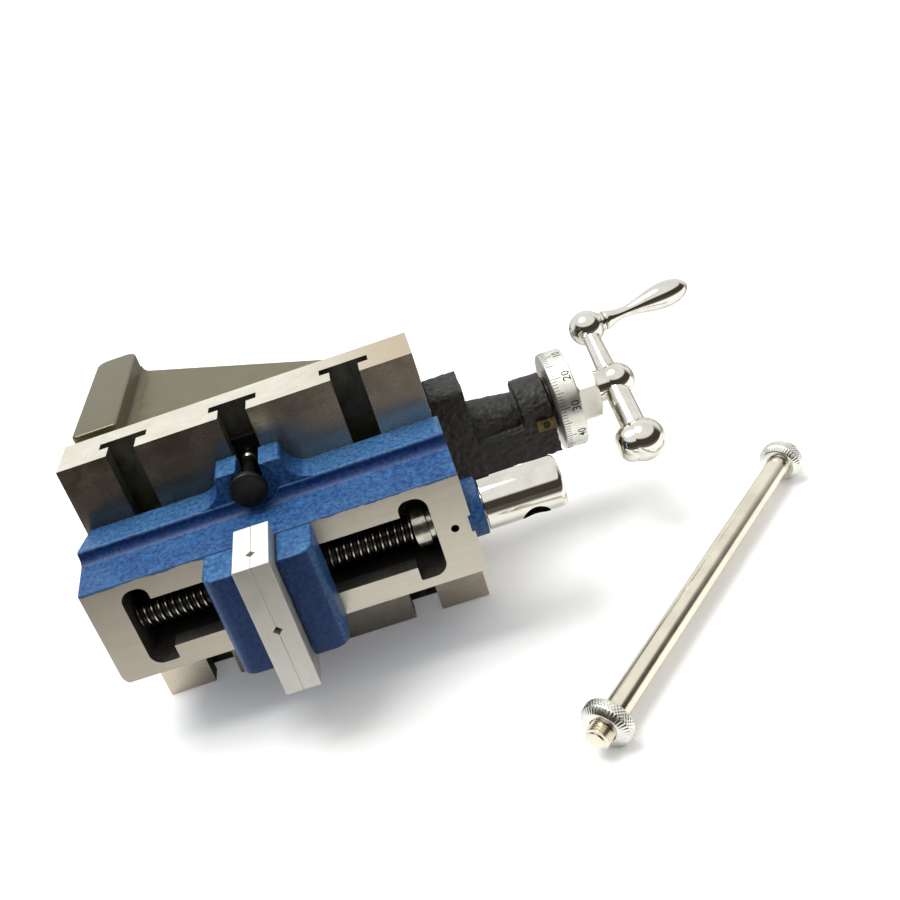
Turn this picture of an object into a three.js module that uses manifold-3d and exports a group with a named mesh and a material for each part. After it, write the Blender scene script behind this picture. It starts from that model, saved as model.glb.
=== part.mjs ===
// Milling vertical slide with a self-centring vice, lying on its side. Lengths are millimetres, +Z is up.
// X runs along the lead screw towards the crank, and Y runs away from the slotted face of the table.
// The origin is on the table's lower side, halfway along it and halfway between the slots and its back.
import * as THREE from 'three';
import { mergeVertices } from 'three/addons/utils/BufferGeometryUtils.js';
import Module from 'manifold-3d';

const wasm = await Module();
wasm.setup();

// Clearances and cuts that all pieces share
const seatGap = 0.3;
const overrun = 1;

// Sides of round pieces, by how large they are
const largeSides = 40;
const mediumSides = 24;
const smallSides = 12;
const cornerSteps = 4;

// Slide table and its T-slots
const tableLength = 125;
const tableWidth = 100;
const tableThickness = 20;
const slotPitch = 39.5;
const slotNeckWidth = 10;
const slotNeckDepth = 7;
const slotTeeWidth = 17;
const slotTeeDepth = 4.4;

// Dovetail between the table and the column, with its gib strip and screws
const dovetailHeight = 6;
const dovetailHalfWidth = 30;
const dovetailAngle = Math.PI / 3;
const railReach = 42;
const gibThickness = 3;
const gibEndInset = 1.5;
const gibScrewRadius = 1.5;
const gibScrewInset = 20.5;
const gibScrewPitch = tableLength / 2 - gibScrewInset;
const gibScrewTail = 4.5;
const gibNutAcrossFlats = 5.5;
const gibNutHeight = 2.4;
const gibScrewSlotWidth = 0.6;
const gibScrewSlotDepth = 0.8;

// Lead screw
const leadAxisDepth = 34;
const leadScrewRadius = 5;
const leadScrewEndClearance = 2;
const leadCollarRadius = 8;
const leadCollarLength = 4.2;
const leadJournalRadius = 4;
const leadTailChamfer = 1;

// Lead nut under the table
const leadNutLength = 18;
const leadNutWidth = 17.4;
const leadNutDepth = 21.5;
const nutScrewPitch = 10.4;
const nutScrewRadius = 2;
const nutScrewHeadRadius = 3.5;
const nutScrewHeadHeight = 3.6;
const nutScrewGrip = 7.5;
const nutScrewSocketRadius = 1.7;
const nutScrewSocketDepth = 2;

// Angle base: foot, column, rib and gussets
const footSetback = 1;
const footUnderside = footSetback - tableLength / 2;
const footThickness = 17;
const footDepth = 73.2;
const footWidth = tableWidth;
const footCornerRadius = 1.5;
const baseLength = tableLength - footSetback;
const columnDepth = 15.7;
const columnWidth = 83;
const ribWidth = 40;
const ribHeight = 8;
const gussetThickness = 11.5;
const gussetRise = 55;
const gussetRun = 76.5;
const channelWidth = 19;
const channelDepth = 17.2;
const channelEndWall = 7.5;
const leadScrewEnd = -(footUnderside + channelEndWall + leadScrewEndClearance);
const footSlotWidth = 9;
const footSlotLength = 35;
const footSlotSpacing = 36;
const footSlotInset = 28.7;

// Bracket that carries the lead screw's bearing
const bracketPlateThickness = 12.9;
const bracketPlateDepth = 20.4;
const bracketCornerRadius = 4;
const neckLength = 17.6;
const neckTipRadius = 8.6;
const bossRadius = 12.5;
const bossLength = 11.2;
const shelfDepth = 25;
const shelfFront = 12.5;
const shelfTop = 1;
const shelfHeight = 13.4;
const bracketScrewSpacing = 34;
const bracketScrewEdge = 6;
const bracketPlateHeight = bracketScrewSpacing + 2 * bracketScrewEdge;
const bracketScrewRadius = 2;
const bracketScrewHeadRadius = 3.5;
const bracketScrewHeadRoom = 2.7;
const neckRootRadius = bracketScrewSpacing / 2 - bracketScrewHeadRadius - bracketScrewHeadRoom;
const bracketScrewHeadHeight = 4;
const bracketScrewSink = 0.5;
const bracketScrewGrip = 10;
const bracketScrewSocketRadius = 1.8;
const bracketScrewSocketDepth = 2;
const indexPlateLength = 6.8;
const indexPlateHeight = 4.5;
const indexPlateThickness = 0.6;
const indexPlateDrop = 2.7;
const indexPlateInset = 0.1;
const indexScrewRadius = 1;
const indexScrewLength = 3;

// Dial, its nut and the thrust washer
const washerRadius = 10;
const washerThickness = 0.9;
const dialRadius = 18.3;
const dialWidth = 8.4;
const dialEdge = 0.5;
const dialNutRadius = 12;
const dialNutWidth = 8;
const dialNutTurn = THREE.MathUtils.degToRad(31);

// Ball crank and its grip
const crankTurn = THREE.MathUtils.degToRad(26.7);
const hubRadius = 6;
const hubLength = 8;
const hubBallRadius = 6.8;
const hubBoreDepth = 4.2;
const armOffset = 6.8;
const gripReach = 28.2;
const gripBallRadius = 6.7;
const gripArmRootRadius = 3.6;
const gripArmTipRadius = 3.1;
const balanceReach = 28.2;
const balanceBallRadius = 7.8;
const balanceOffset = 0.9;
const balanceArmRootRadius = 4.4;
const balanceArmTipRadius = 4.55;
const balanceCollarRadius = 6.8;
const balanceCollarReach = 9.1;
const gripLean = THREE.MathUtils.degToRad(6.6);
const gripSeatRadius = 3.8;
const gripSeatReach = 6.8;
const gripLength = 34.5;
const gripRootRadius = 3.75;
const gripWaistRadius = 2.1;
const gripWaistPlace = 8.2;
const gripBulgeRadius = 5;
const gripBulgePlace = 24;
const gripTipRadius = 2.6;
const gripTipPlace = 33.2;
const gripShankRadius = 2;
const gripRivetRadius = 2.35;
const gripRivetHeight = 1.1;
const crankPinRadius = 1.5;
const crankPinPlace = 2.1;

// Vice body
const viseLength = 128;
const viseFlangeHeight = 51.5;
const viseFlangeDepth = 13.5;
const viseFlangeCorner = 2;
const viseRootHeight = 42.2;
const viseRootDepth = 15.6;
const viseShoulderHeight = 38.4;
const viseShoulderDepth = 28.4;
const viseFaceHeight = 37.4;
const viseFaceDepth = 30;
const earWidth = 23;
const earShift = -0.1;
const earReach = 35.5;
const earDepth = 13;
const earFilletRadius = 8;
const earSlotWidth = 8;
const clampReach = 28.8;
const clampShift = -1.2;
const spotFaceRadius = 8;
const spotFaceDepth = 1;
const windowEndWall = 12;
const windowReach = viseLength / 2 - windowEndWall;
const windowSlotHeight = 20;
const windowEndLength = 9.5;
const windowEndHeight = 30.4;
const windowCornerRadius = 3.5;
const faceThickness = 6;
const cavityFloor = 5;
const viseBossRadius = 9.8;
const viseBossLength = 4.7;
const oilHoleRadius = 1.35;
const oilHoleInset = 5.9;
const oilHolePlace = viseLength / 2 - oilHoleInset;

// Vice screw, its collar and pin
const viseAxisDepth = 20.7;
const viseScrewRadius = 5;
const viseTailRadius = 3.5;
const viseTailLength = 9;
const viseWaistRadius = 4;
const viseWaistLength = 6;
const headRadius = 8.8;
const headLength = 26.6;
const headRound = 2;
const headHoleRadius = 4.6;
const headHolePlace = 15.7;
const headHoleTurn = THREE.MathUtils.degToRad(45);
const collarRadius = 7.4;
const collarLength = 5.2;
const collarShoulderRadius = 6.2;
const collarShoulderLength = 1.5;
const collarPinRadius = 1.2;

// Jaws
const jawCentre = -2.75;
const jawPlateThickness = 5.7;
const jawPlateDepth = 24.7;
const jawPlateHeight = 48.2;
const grooveWidth = 3.5;
const grooveInset = 8;
const jawLength = 12;
const jawHeight = 38;
const jawDepth = 16.7;
const jawCornerRadius = 5;
const jawTongueStart = 2.15;
const jawTongueLength = 8;
const jawNeckHeight = 19.2;
const jawBlockHeight = 29;
const jawBlockDepth = 15.2;
const plateScrewEnd = 10.1;
const plateScrewSpacing = jawPlateHeight - 2 * plateScrewEnd;
const plateScrewInset = 16.5;
const plateScrewRadius = 2.5;
const plateScrewHeadRadius = 4.6;
const plateScrewHeadHeight = 2.3;
const plateScrewLength = 14;
const plateScrewSocketRadius = 1.6;

// Clamp screws and their T-nuts
const clampDiscRadius = 6.4;
const clampDiscThickness = 2.2;
const clampDiscEdge = 0.6;
const clampSeatRadius = 4.7;
const clampConeLength = 3.8;
const clampNeckRadius = 2.2;
const clampBeadRadius = 3.1;
const clampBeadPlace = 4.2;
const clampThreadRadius = 2.5;
const clampNutLength = 18.2;
const clampNutClearance = 0.3;

// Tommy bar
const tommyCentreX = 130.5;
const tommyCentreY = -37.4;
const tommyTurn = THREE.MathUtils.degToRad(46.7);
const tommyLength = 156;
const tommyRadius = 3.9;
const tommyEdge = 0.8;
const tommyNutRadius = 8;
const tommyNutLength = 6.5;
const tommyNutInset = 4.5;
const tommyNutEdge = 1.2;

// Places along Y that follow from the stack of pieces
const dovetailFace = tableThickness + seatGap;
const railFace = tableThickness + dovetailHeight;
const columnFace = railFace + seatGap;
const columnBack = columnFace + columnDepth;
const slotFloor = slotNeckDepth + slotTeeDepth;
const originDepth = (slotFloor + tableThickness) / 2;

// Places along X that follow from the stack of pieces on the lead screw
const footFace = footUnderside + footThickness;
const columnEnd = footUnderside + baseLength;
const bracketSeat = columnEnd + seatGap;
const neckStart = bracketSeat + bracketPlateThickness;
const bracketScrewSeat = neckStart - bracketScrewSink - bracketScrewHeadHeight;
const bossFront = leadAxisDepth - bossRadius;
const indexPlateBottom = -shelfTop - indexPlateDrop;
const indexScrewZ = indexPlateBottom + indexPlateHeight / 2;
const bossStart = neckStart + neckLength;
const bossEnd = bossStart + bossLength;
const washerStart = bossEnd + seatGap;
const dialStart = washerStart + washerThickness + seatGap;
const dialNutStart = dialStart + dialWidth + seatGap;
const hubStart = dialNutStart + dialNutWidth + seatGap;
const leadScrewTip = hubStart + hubBoreDepth - seatGap;
const leadCollarEnd = columnEnd;

// Place of the pin through the vice screw's thrust collar
const collarPinX = windowReach - seatGap - collarShoulderLength - collarLength / 2;

// Flank of the male dovetail at a depth, moved outwards by an offset
const flankLean = 1 / Math.tan(dovetailAngle);
const flankGap = seatGap / Math.sin(dovetailAngle);
const gibAcross = gibThickness / Math.sin(dovetailAngle);
const flankAt = (depth, offset = 0) => dovetailHalfWidth + offset - (depth - dovetailFace) * flankLean;

// Finishes, with one material for each mesh
const finishes = {
  blue: { color: 0x3d7cc0, roughness: 0.55, metalness: 0.05 },
  ground: { color: 0xb9b2a6, roughness: 0.35, metalness: 0.85 },
  grey: { color: 0x8f8d7c, roughness: 0.5, metalness: 0.6 },
  blackCasting: { color: 0x23221f, roughness: 0.9, metalness: 0.1 },
  blackSteel: { color: 0x1d1b19, roughness: 0.5, metalness: 0.7 },
  steel: { color: 0x9a9a98, roughness: 0.35, metalness: 0.9 },
  satin: { color: 0xd3d1c4, roughness: 0.4, metalness: 0.7 },
  chrome: { color: 0xd6d4c8, roughness: 0.12, metalness: 1 },
  bronze: { color: 0x9c7a45, roughness: 0.4, metalness: 0.9 },
  brass: { color: 0xb09a5c, roughness: 0.4, metalness: 0.9 },
  nickel: { color: 0xc9bea6, roughness: 0.25, metalness: 1 },
};

// Closed solid of a geometry: shared vertices merged, slivers dropped and faces turned outwards
function solidOf(geometry) {
  const bare = geometry.clone();
  bare.deleteAttribute('normal');
  bare.deleteAttribute('uv');
  const merged = mergeVertices(bare);
  const place = merged.attributes.position;
  const index = merged.index.array;
  const corners = [new THREE.Vector3(), new THREE.Vector3(), new THREE.Vector3()];
  const triangles = [];
  let volume = 0;
  for (let i = 0; i < index.length; i += 3) {
    const [a, b, c] = [index[i], index[i + 1], index[i + 2]];
    if (a === b || b === c || c === a) continue;
    triangles.push([a, b, c]);
    [a, b, c].forEach((vertex, k) => corners[k].fromBufferAttribute(place, vertex));
    volume += corners[0].dot(corners[1].cross(corners[2]));
  }
  const outward = volume < 0 ? triangles.map(([a, b, c]) => [a, c, b]) : triangles;
  const vertProperties = new Float32Array(place.array);
  const triVerts = new Uint32Array(outward.flat());
  return new wasm.Manifold(new wasm.Mesh({ numProp: 3, vertProperties, triVerts }));
}

// Geometry of a closed solid
function geometryOf(solid) {
  const mesh = solid.getMesh();
  const geometry = new THREE.BufferGeometry();
  geometry.setAttribute('position', new THREE.BufferAttribute(new Float32Array(mesh.vertProperties), 3));
  geometry.setIndex(new THREE.BufferAttribute(new Uint32Array(mesh.triVerts), 1));
  geometry.computeVertexNormals();
  return geometry;
}

// Solids joined to the first one
const join = (first, ...others) => others.reduce((whole, other) => whole.add(other), first);

// Solids cut out of the first one
const cut = (first, ...others) => others.reduce((whole, other) => whole.subtract(other), first);

// Block between two corners
function block([x0, x1], [y0, y1], [z0, z1]) {
  const geometry = new THREE.BoxGeometry(x1 - x0, y1 - y0, z1 - z0);
  return solidOf(geometry.translate((x0 + x1) / 2, (y0 + y1) / 2, (z0 + z1) / 2));
}

// Turns a geometry that runs along Y so that it runs along the named axis
function alongAxis(geometry, axis) {
  if (axis === 'x') geometry.rotateZ(-Math.PI / 2);
  if (axis === 'z') geometry.rotateX(Math.PI / 2);
  return geometry;
}

// Round bar or cone along an axis, with its two radii, its ends and the place of its centre line
function bar(axis, [r0, r1], [from, to], sides, [x, y, z] = [0, 0, 0]) {
  const geometry = new THREE.CylinderGeometry(r1, r0, to - from, sides);
  geometry.translate(0, (from + to) / 2, 0);
  return solidOf(alongAxis(geometry, axis).translate(x, y, z));
}

// Turned piece along an axis, from its outline as places along the axis with their radii
function turned(axis, outline, sides, [x, y, z] = [0, 0, 0]) {
  const points = outline.map(([place, radius]) => new THREE.Vector2(radius, place));
  const first = new THREE.Vector2(0, points[0].y);
  const last = new THREE.Vector2(0, points[points.length - 1].y);
  const closed = [first, ...points, last].filter((p, i, all) => i === 0 || p.distanceTo(all[i - 1]) > 0);
  const geometry = new THREE.LatheGeometry(closed, sides);
  return solidOf(alongAxis(geometry, axis).translate(x, y, z));
}

// Ball at a place
const ball = (radius, sides, x, y = 0, z = 0) =>
  solidOf(new THREE.SphereGeometry(radius, sides, sides / 2).rotateZ(Math.PI / 2).translate(x, y, z));

// Outline pushed along an axis: its own two axes become the other two, in the order X, Y, Z
function extruded(axis, shape, [from, to]) {
  const settings = { depth: to - from, bevelEnabled: false, curveSegments: cornerSteps };
  const geometry = new THREE.ExtrudeGeometry(shape, settings).translate(0, 0, from);
  const place = geometry.attributes.position;
  for (let i = 0; i < place.count; i += 1) {
    const [u, v, w] = [place.getX(i), place.getY(i), place.getZ(i)];
    if (axis === 'x') place.setXYZ(i, w, u, v);
    if (axis === 'y') place.setXYZ(i, u, w, v);
  }
  return solidOf(geometry);
}

// Outline through points
const outlineOf = (points) => new THREE.Shape(points.map(([u, v]) => new THREE.Vector2(u, v)));

// Rectangle whose corners are rounded, each with its own radius, from the low corner round anticlockwise
function roundedRectangle([u0, u1], [v0, v1], [a, b, c, d]) {
  const shape = new THREE.Shape();
  shape.moveTo(u0 + a, v0);
  shape.lineTo(u1 - b, v0);
  if (b > 0) shape.absarc(u1 - b, v0 + b, b, -Math.PI / 2, 0);
  shape.lineTo(u1, v1 - c);
  if (c > 0) shape.absarc(u1 - c, v1 - c, c, 0, Math.PI / 2);
  shape.lineTo(u0 + d, v1);
  if (d > 0) shape.absarc(u0 + d, v1 - d, d, Math.PI / 2, Math.PI);
  shape.lineTo(u0, v0 + a);
  if (a > 0) shape.absarc(u0 + a, v0 + a, a, Math.PI, 1.5 * Math.PI);
  return shape;
}

// Hexagon with its corners at a radius, as a bar of six sides along an axis
const hexagon = (axis, radius, ends, place) => bar(axis, [radius, radius], ends, 6, place);

// Named mesh of a solid in a finish
function piece(name, solid, finish) {
  const mesh = new THREE.Mesh(geometryOf(solid), new THREE.MeshStandardMaterial(finishes[finish]));
  mesh.name = name;
  return mesh;
}

// Group at a place, turned about X, that holds pieces
function groupAt([x, y, z], members, turnX = 0) {
  const group = new THREE.Group();
  group.position.set(x, y, z);
  group.rotation.x = turnX;
  group.add(...members);
  return group;
}

// Casting with the foot, column, dovetail, rib and gussets
function angleBase() {
  const footEnds = [columnFace, columnFace + footDepth];
  const corners = Array(4).fill(footCornerRadius);
  const footShape = roundedRectangle([footUnderside, footFace], footEnds, corners);
  const foot = extruded('z', footShape, [-footWidth / 2, footWidth / 2]);
  const along = [footUnderside, columnEnd];
  const column = block([footFace - overrun, columnEnd], [columnFace, columnBack],
    [-columnWidth / 2, columnWidth / 2]);
  const dovetail = extruded('x', outlineOf([
    [dovetailFace, -flankAt(dovetailFace)],
    [columnFace, -flankAt(columnFace)],
    [columnFace + columnDepth / 2, -flankAt(columnFace)],
    [columnFace + columnDepth / 2, flankAt(columnFace)],
    [columnFace, flankAt(columnFace)],
    [dovetailFace, flankAt(dovetailFace)],
  ]), along);
  const rib = block([footFace - overrun, columnEnd], [columnBack - overrun, columnBack + ribHeight],
    [-ribWidth / 2, ribWidth / 2]);
  const gussetShape = outlineOf([
    [footFace - overrun, columnBack - overrun],
    [footFace + gussetRun, columnBack - overrun],
    [footFace + gussetRun, columnBack],
    [footFace, columnBack + gussetRise],
    [footFace - overrun, columnBack + gussetRise],
  ]);
  const gussetEnds = [columnWidth / 2 - gussetThickness, columnWidth / 2];
  const upperGusset = extruded('z', gussetShape, gussetEnds);
  const lowerGusset = extruded('z', gussetShape, gussetEnds.map((z) => -z).reverse());
  const channel = block([footUnderside + channelEndWall, columnEnd + overrun],
    [dovetailFace - overrun, columnFace + channelDepth], [-channelWidth / 2, channelWidth / 2]);
  const casting = join(foot, column, dovetail, rib, upperGusset, lowerGusset);
  const cuts = [channel];
  for (const side of [-1, 1]) {
    const slotZ = side * footSlotSpacing / 2;
    const slotStart = columnFace + footSlotInset + footSlotWidth / 2;
    const slotEnd = columnFace + footSlotInset + footSlotLength - footSlotWidth / 2;
    const through = [footUnderside - overrun, footFace + overrun];
    const radii = [footSlotWidth / 2, footSlotWidth / 2];
    cuts.push(block(through, [slotStart, slotEnd], [slotZ - footSlotWidth / 2, slotZ + footSlotWidth / 2]));
    cuts.push(bar('x', radii, through, smallSides, [0, slotStart, slotZ]));
    cuts.push(bar('x', radii, through, smallSides, [0, slotEnd, slotZ]));
    const hole = bracketScrewRadius + seatGap;
    const holeEnds = [columnEnd - bracketScrewGrip - seatGap, columnEnd + overrun];
    const holePlace = [0, leadAxisDepth, side * bracketScrewSpacing / 2];
    cuts.push(bar('x', [hole, hole], holeEnds, smallSides, holePlace));
  }
  return piece('angle_base', cut(casting, ...cuts), 'grey');
}

// Bearing bracket: plate, tapering neck, boss and shelf, bored for the lead screw's journal
function leadScrewBracket() {
  const front = dovetailFace + seatGap;
  const corners = Array(4).fill(bracketCornerRadius);
  const halfHeight = bracketPlateHeight / 2;
  const plateShape = roundedRectangle([front, front + bracketPlateDepth], [-halfHeight, halfHeight], corners);
  const plate = extruded('x', plateShape, [bracketSeat, neckStart]);
  const centre = [0, leadAxisDepth, 0];
  const neckEnds = [neckStart - overrun, bossStart];
  const neck = bar('x', [neckRootRadius, neckTipRadius], neckEnds, mediumSides, centre);
  const boss = bar('x', [bossRadius, bossRadius], [bossStart, bossEnd], mediumSides, centre);
  const shelfY = leadAxisDepth - shelfFront;
  const shelf = block([neckStart - overrun, bossEnd], [shelfY, shelfY + shelfDepth],
    [-shelfTop - shelfHeight, -shelfTop]);
  const bore = leadJournalRadius + seatGap;
  const cuts = [bar('x', [bore, bore], [bracketSeat - overrun, bossEnd + overrun], mediumSides, centre)];
  for (const side of [-1, 1]) {
    const hole = bracketScrewRadius + seatGap;
    const place = [0, leadAxisDepth, side * bracketScrewSpacing / 2];
    cuts.push(bar('x', [hole, hole], [bracketSeat - overrun, neckStart + overrun], smallSides, place));
    const sink = bracketScrewHeadRadius + seatGap;
    cuts.push(bar('x', [sink, sink], [bracketScrewSeat - seatGap, neckStart + overrun], smallSides, place));
  }
  const indexX = bossEnd - indexPlateInset - indexPlateLength / 2;
  const indexHole = indexScrewRadius + seatGap;
  const indexEnds = [bossFront - overrun, bossFront + indexScrewLength];
  cuts.push(bar('y', [indexHole, indexHole], indexEnds, smallSides, [indexX, 0, indexScrewZ]));
  return piece('leadscrew_bracket', cut(join(plate, neck, boss, shelf), ...cuts), 'blackCasting');
}

// Low and high end of a stretch, whichever way round it is given
const rising = (ends) => [...ends].sort((a, b) => a - b);

// Cap screw along an axis: shank from its tip into the head, head from its seat to its top, and a socket
function capScrew(axis, radii, [tip, seat, top], socketDepth) {
  const [shankRadius, capRadius, socketRadius] = radii;
  const outward = Math.sign(top - seat);
  const shank = bar(axis, [shankRadius, shankRadius], rising([tip, (seat + top) / 2]), smallSides);
  const head = bar(axis, [capRadius, capRadius], rising([seat, top]), smallSides);
  const socket = hexagon(axis, socketRadius, rising([top - outward * socketDepth, top + outward * overrun]));
  return cut(join(shank, head), socket);
}

// Two cap screws that hold the bracket to the end of the column
function bracketScrews() {
  return [['upper', 1], ['lower', -1]].map(([label, side]) => {
    const ends = [columnEnd - bracketScrewGrip, bracketScrewSeat, bracketScrewSeat + bracketScrewHeadHeight];
    const radii = [bracketScrewRadius, bracketScrewHeadRadius, bracketScrewSocketRadius];
    const screw = capScrew('x', radii, ends, bracketScrewSocketDepth);
    const mesh = piece(`bracket_screw_${label}`, screw, 'blackSteel');
    mesh.position.set(0, leadAxisDepth, side * bracketScrewSpacing / 2);
    return mesh;
  });
}

// Small brass pointer plate on the front of the bracket's boss, with its screw
function indexPieces() {
  const right = bossEnd - indexPlateInset;
  const plateX = [right - indexPlateLength, right];
  const plateZ = [indexPlateBottom, indexPlateBottom + indexPlateHeight];
  const front = bossFront - seatGap - indexPlateThickness;
  const place = [right - indexPlateLength / 2, 0, indexScrewZ];
  const hole = indexScrewRadius + seatGap;
  const plate = cut(block(plateX, [front, front + indexPlateThickness], plateZ),
    bar('y', [hole, hole], [front - overrun, bossFront], smallSides, place));
  const screw = bar('y', [indexScrewRadius, indexScrewRadius], [front, bossFront + indexScrewLength - seatGap],
    smallSides, place);
  return [piece('index_plate', plate, 'brass'), piece('index_screw', screw, 'blackSteel')];
}

// Ring along X with a bore for the lead screw's journal
function journalRing(name, radius, [from, to], finish, edge = 0) {
  const outline = [[from, radius - edge], [from + edge, radius], [to - edge, radius], [to, radius - edge]];
  const bore = leadJournalRadius + seatGap;
  const hole = bar('x', [bore, bore], [from - overrun, to + overrun], smallSides);
  return piece(name, cut(turned('x', outline, largeSides), hole), finish);
}

// Table with its T-slots, dovetail rails and the holes for its screws
function slideTable() {
  const halfLength = tableLength / 2;
  const halfWidth = tableWidth / 2;
  const along = [-halfLength, halfLength];
  const across = [-halfWidth - overrun, halfWidth + overrun];
  const plate = block(along, [0, tableThickness], [-halfWidth, halfWidth]);
  const rail = (offset, side) => extruded('x', outlineOf([
    [tableThickness - overrun, side * flankAt(tableThickness, offset)],
    [tableThickness, side * flankAt(tableThickness, offset)],
    [railFace, side * flankAt(railFace, offset)],
    [railFace, side * railReach],
    [tableThickness - overrun, side * railReach],
  ]), along);
  const upperRail = rail(flankGap, 1);
  const lowerRail = rail(flankGap + gibAcross + flankGap, -1);
  const cuts = [-1, 0, 1].flatMap((place) => {
    const x = place * slotPitch;
    const neck = block([x - slotNeckWidth / 2, x + slotNeckWidth / 2], [-overrun, slotFloor], across);
    const tee = block([x - slotTeeWidth / 2, x + slotTeeWidth / 2], [slotNeckDepth, slotFloor], across);
    return [neck, tee];
  });
  for (const side of [-1, 1]) {
    const place = [0, 0, side * nutScrewPitch / 2];
    const clear = nutScrewRadius + seatGap;
    const sink = nutScrewHeadRadius + seatGap;
    const sinkFloor = slotFloor + nutScrewHeadHeight + seatGap;
    cuts.push(bar('y', [clear, clear], [slotFloor, tableThickness + overrun], smallSides, place));
    cuts.push(bar('y', [sink, sink], [slotFloor - overrun, sinkFloor], smallSides, place));
  }
  for (const place of [-1, 0, 1]) {
    const clear = gibScrewRadius + seatGap;
    const ends = [-railReach - overrun, -flankAt(railFace, flankGap)];
    const centre = [place * gibScrewPitch, tableThickness + dovetailHeight / 2, 0];
    cuts.push(bar('z', [clear, clear], ends, smallSides, centre));
  }
  return piece('slide_table', cut(join(plate, upperRail, lowerRail), ...cuts), 'ground');
}

// Gib strip in the lower flank, with three adjusting screws and their locking nuts
function gibPieces() {
  const inner = (depth) => -flankAt(depth, flankGap);
  const [front, back] = [dovetailFace, railFace - seatGap];
  const halfLength = tableLength / 2 - gibEndInset;
  const strip = extruded('x', outlineOf([
    [front, inner(front)],
    [back, inner(back)],
    [back, inner(back) - gibAcross],
    [front, inner(front) - gibAcross],
  ]), [-halfLength, halfLength]);
  const depth = tableThickness + dovetailHeight / 2;
  const tip = inner(depth - gibScrewRadius) - gibAcross - seatGap;
  const tail = -railReach - gibScrewTail;
  const screw = cut(
    bar('z', [gibScrewRadius, gibScrewRadius], [tail, tip], smallSides),
    block([-gibScrewRadius - overrun, gibScrewRadius + overrun],
      [-gibScrewSlotWidth / 2, gibScrewSlotWidth / 2], [tail - overrun, tail + gibScrewSlotDepth]),
  );
  const clear = gibScrewRadius + seatGap;
  const nutTop = -railReach - seatGap;
  const nutEnds = [nutTop - gibNutHeight, nutTop];
  const nutRadius = gibNutAcrossFlats / 2 / Math.cos(Math.PI / 6);
  const nut = cut(
    hexagon('z', nutRadius, nutEnds),
    bar('z', [clear, clear], [nutEnds[0] - overrun, nutEnds[1] + overrun], smallSides),
  );
  const fittings = [-1, 0, 1].flatMap((place, i) => {
    const x = place * gibScrewPitch;
    const pair = [piece(`gib_screw_${i + 1}`, screw, 'blackSteel'), piece(`gib_nut_${i + 1}`, nut, 'steel')];
    pair[1].rotation.z = Math.PI / 2;
    pair.forEach((mesh) => mesh.position.set(x, depth, 0));
    return pair;
  });
  return [piece('gib_strip', strip, 'brass'), ...fittings];
}

// Bronze lead nut on the table's back, with the two screws that hold it
function leadNutPieces() {
  const [halfLength, halfWidth] = [leadNutLength / 2, leadNutWidth / 2];
  const bore = leadScrewRadius + seatGap;
  const hole = nutScrewRadius + seatGap;
  const tip = tableThickness + nutScrewGrip;
  const boreEnds = [-halfLength - overrun, halfLength + overrun];
  const cuts = [bar('x', [bore, bore], boreEnds, mediumSides, [0, leadAxisDepth, 0])];
  const places = [-1, 1].map((side) => [0, 0, side * nutScrewPitch / 2]);
  places.forEach((place) => {
    cuts.push(bar('y', [hole, hole], [tableThickness - overrun, tip + seatGap], smallSides, place));
  });
  const nut = block([-halfLength, halfLength], [tableThickness, tableThickness + leadNutDepth],
    [-halfWidth, halfWidth]);
  const seat = slotFloor + nutScrewHeadHeight;
  const screws = places.map((place, i) => {
    const radii = [nutScrewRadius, nutScrewHeadRadius, nutScrewSocketRadius];
    const screw = capScrew('y', radii, [tip, seat, slotFloor], nutScrewSocketDepth);
    const mesh = piece(['nut_screw_lower', 'nut_screw_upper'][i], screw, 'steel');
    mesh.position.set(...place);
    return mesh;
  });
  return [piece('lead_nut', cut(nut, ...cuts), 'bronze'), ...screws];
}

// Lead screw in one turned piece: thread, collar, journal and the tail that carries the crank
function leadScrew() {
  const outline = [
    [-leadScrewEnd, leadScrewRadius - leadTailChamfer],
    [-leadScrewEnd + leadTailChamfer, leadScrewRadius],
    [leadCollarEnd - leadCollarLength, leadScrewRadius],
    [leadCollarEnd - leadCollarLength, leadCollarRadius],
    [leadCollarEnd, leadCollarRadius],
    [leadCollarEnd, leadJournalRadius],
    [leadScrewTip - leadTailChamfer, leadJournalRadius],
    [leadScrewTip, leadJournalRadius - leadTailChamfer],
  ];
  const pinHole = crankPinRadius + seatGap;
  const across = [-leadJournalRadius - overrun, leadJournalRadius + overrun];
  const hole = bar('z', [pinHole, pinHole], across, smallSides, [hubStart + crankPinPlace, 0, 0]);
  return piece('lead_screw', cut(turned('x', outline, mediumSides), hole), 'steel');
}

// Hexagon nut that keeps the dial in place
function dialNut() {
  const [from, to] = [dialNutStart, dialNutStart + dialNutWidth];
  const bore = leadJournalRadius + seatGap;
  const solid = cut(hexagon('x', dialNutRadius, [from, to]),
    bar('x', [bore, bore], [from - overrun, to + overrun], smallSides));
  const mesh = piece('dial_nut', solid, 'satin');
  mesh.rotation.x = -dialNutTurn;
  return mesh;
}

// Round bar through the crank's upper ball, leaning outwards as the grip does, along its own axis
function leaningBar(radius, [from, to]) {
  const geometry = new THREE.CylinderGeometry(radius, radius, to - from, smallSides);
  alongAxis(geometry.translate(0, (from + to) / 2, 0), 'x').rotateZ(gripLean);
  return solidOf(geometry.translate(hubStart + armOffset, gripReach, 0));
}

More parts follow.
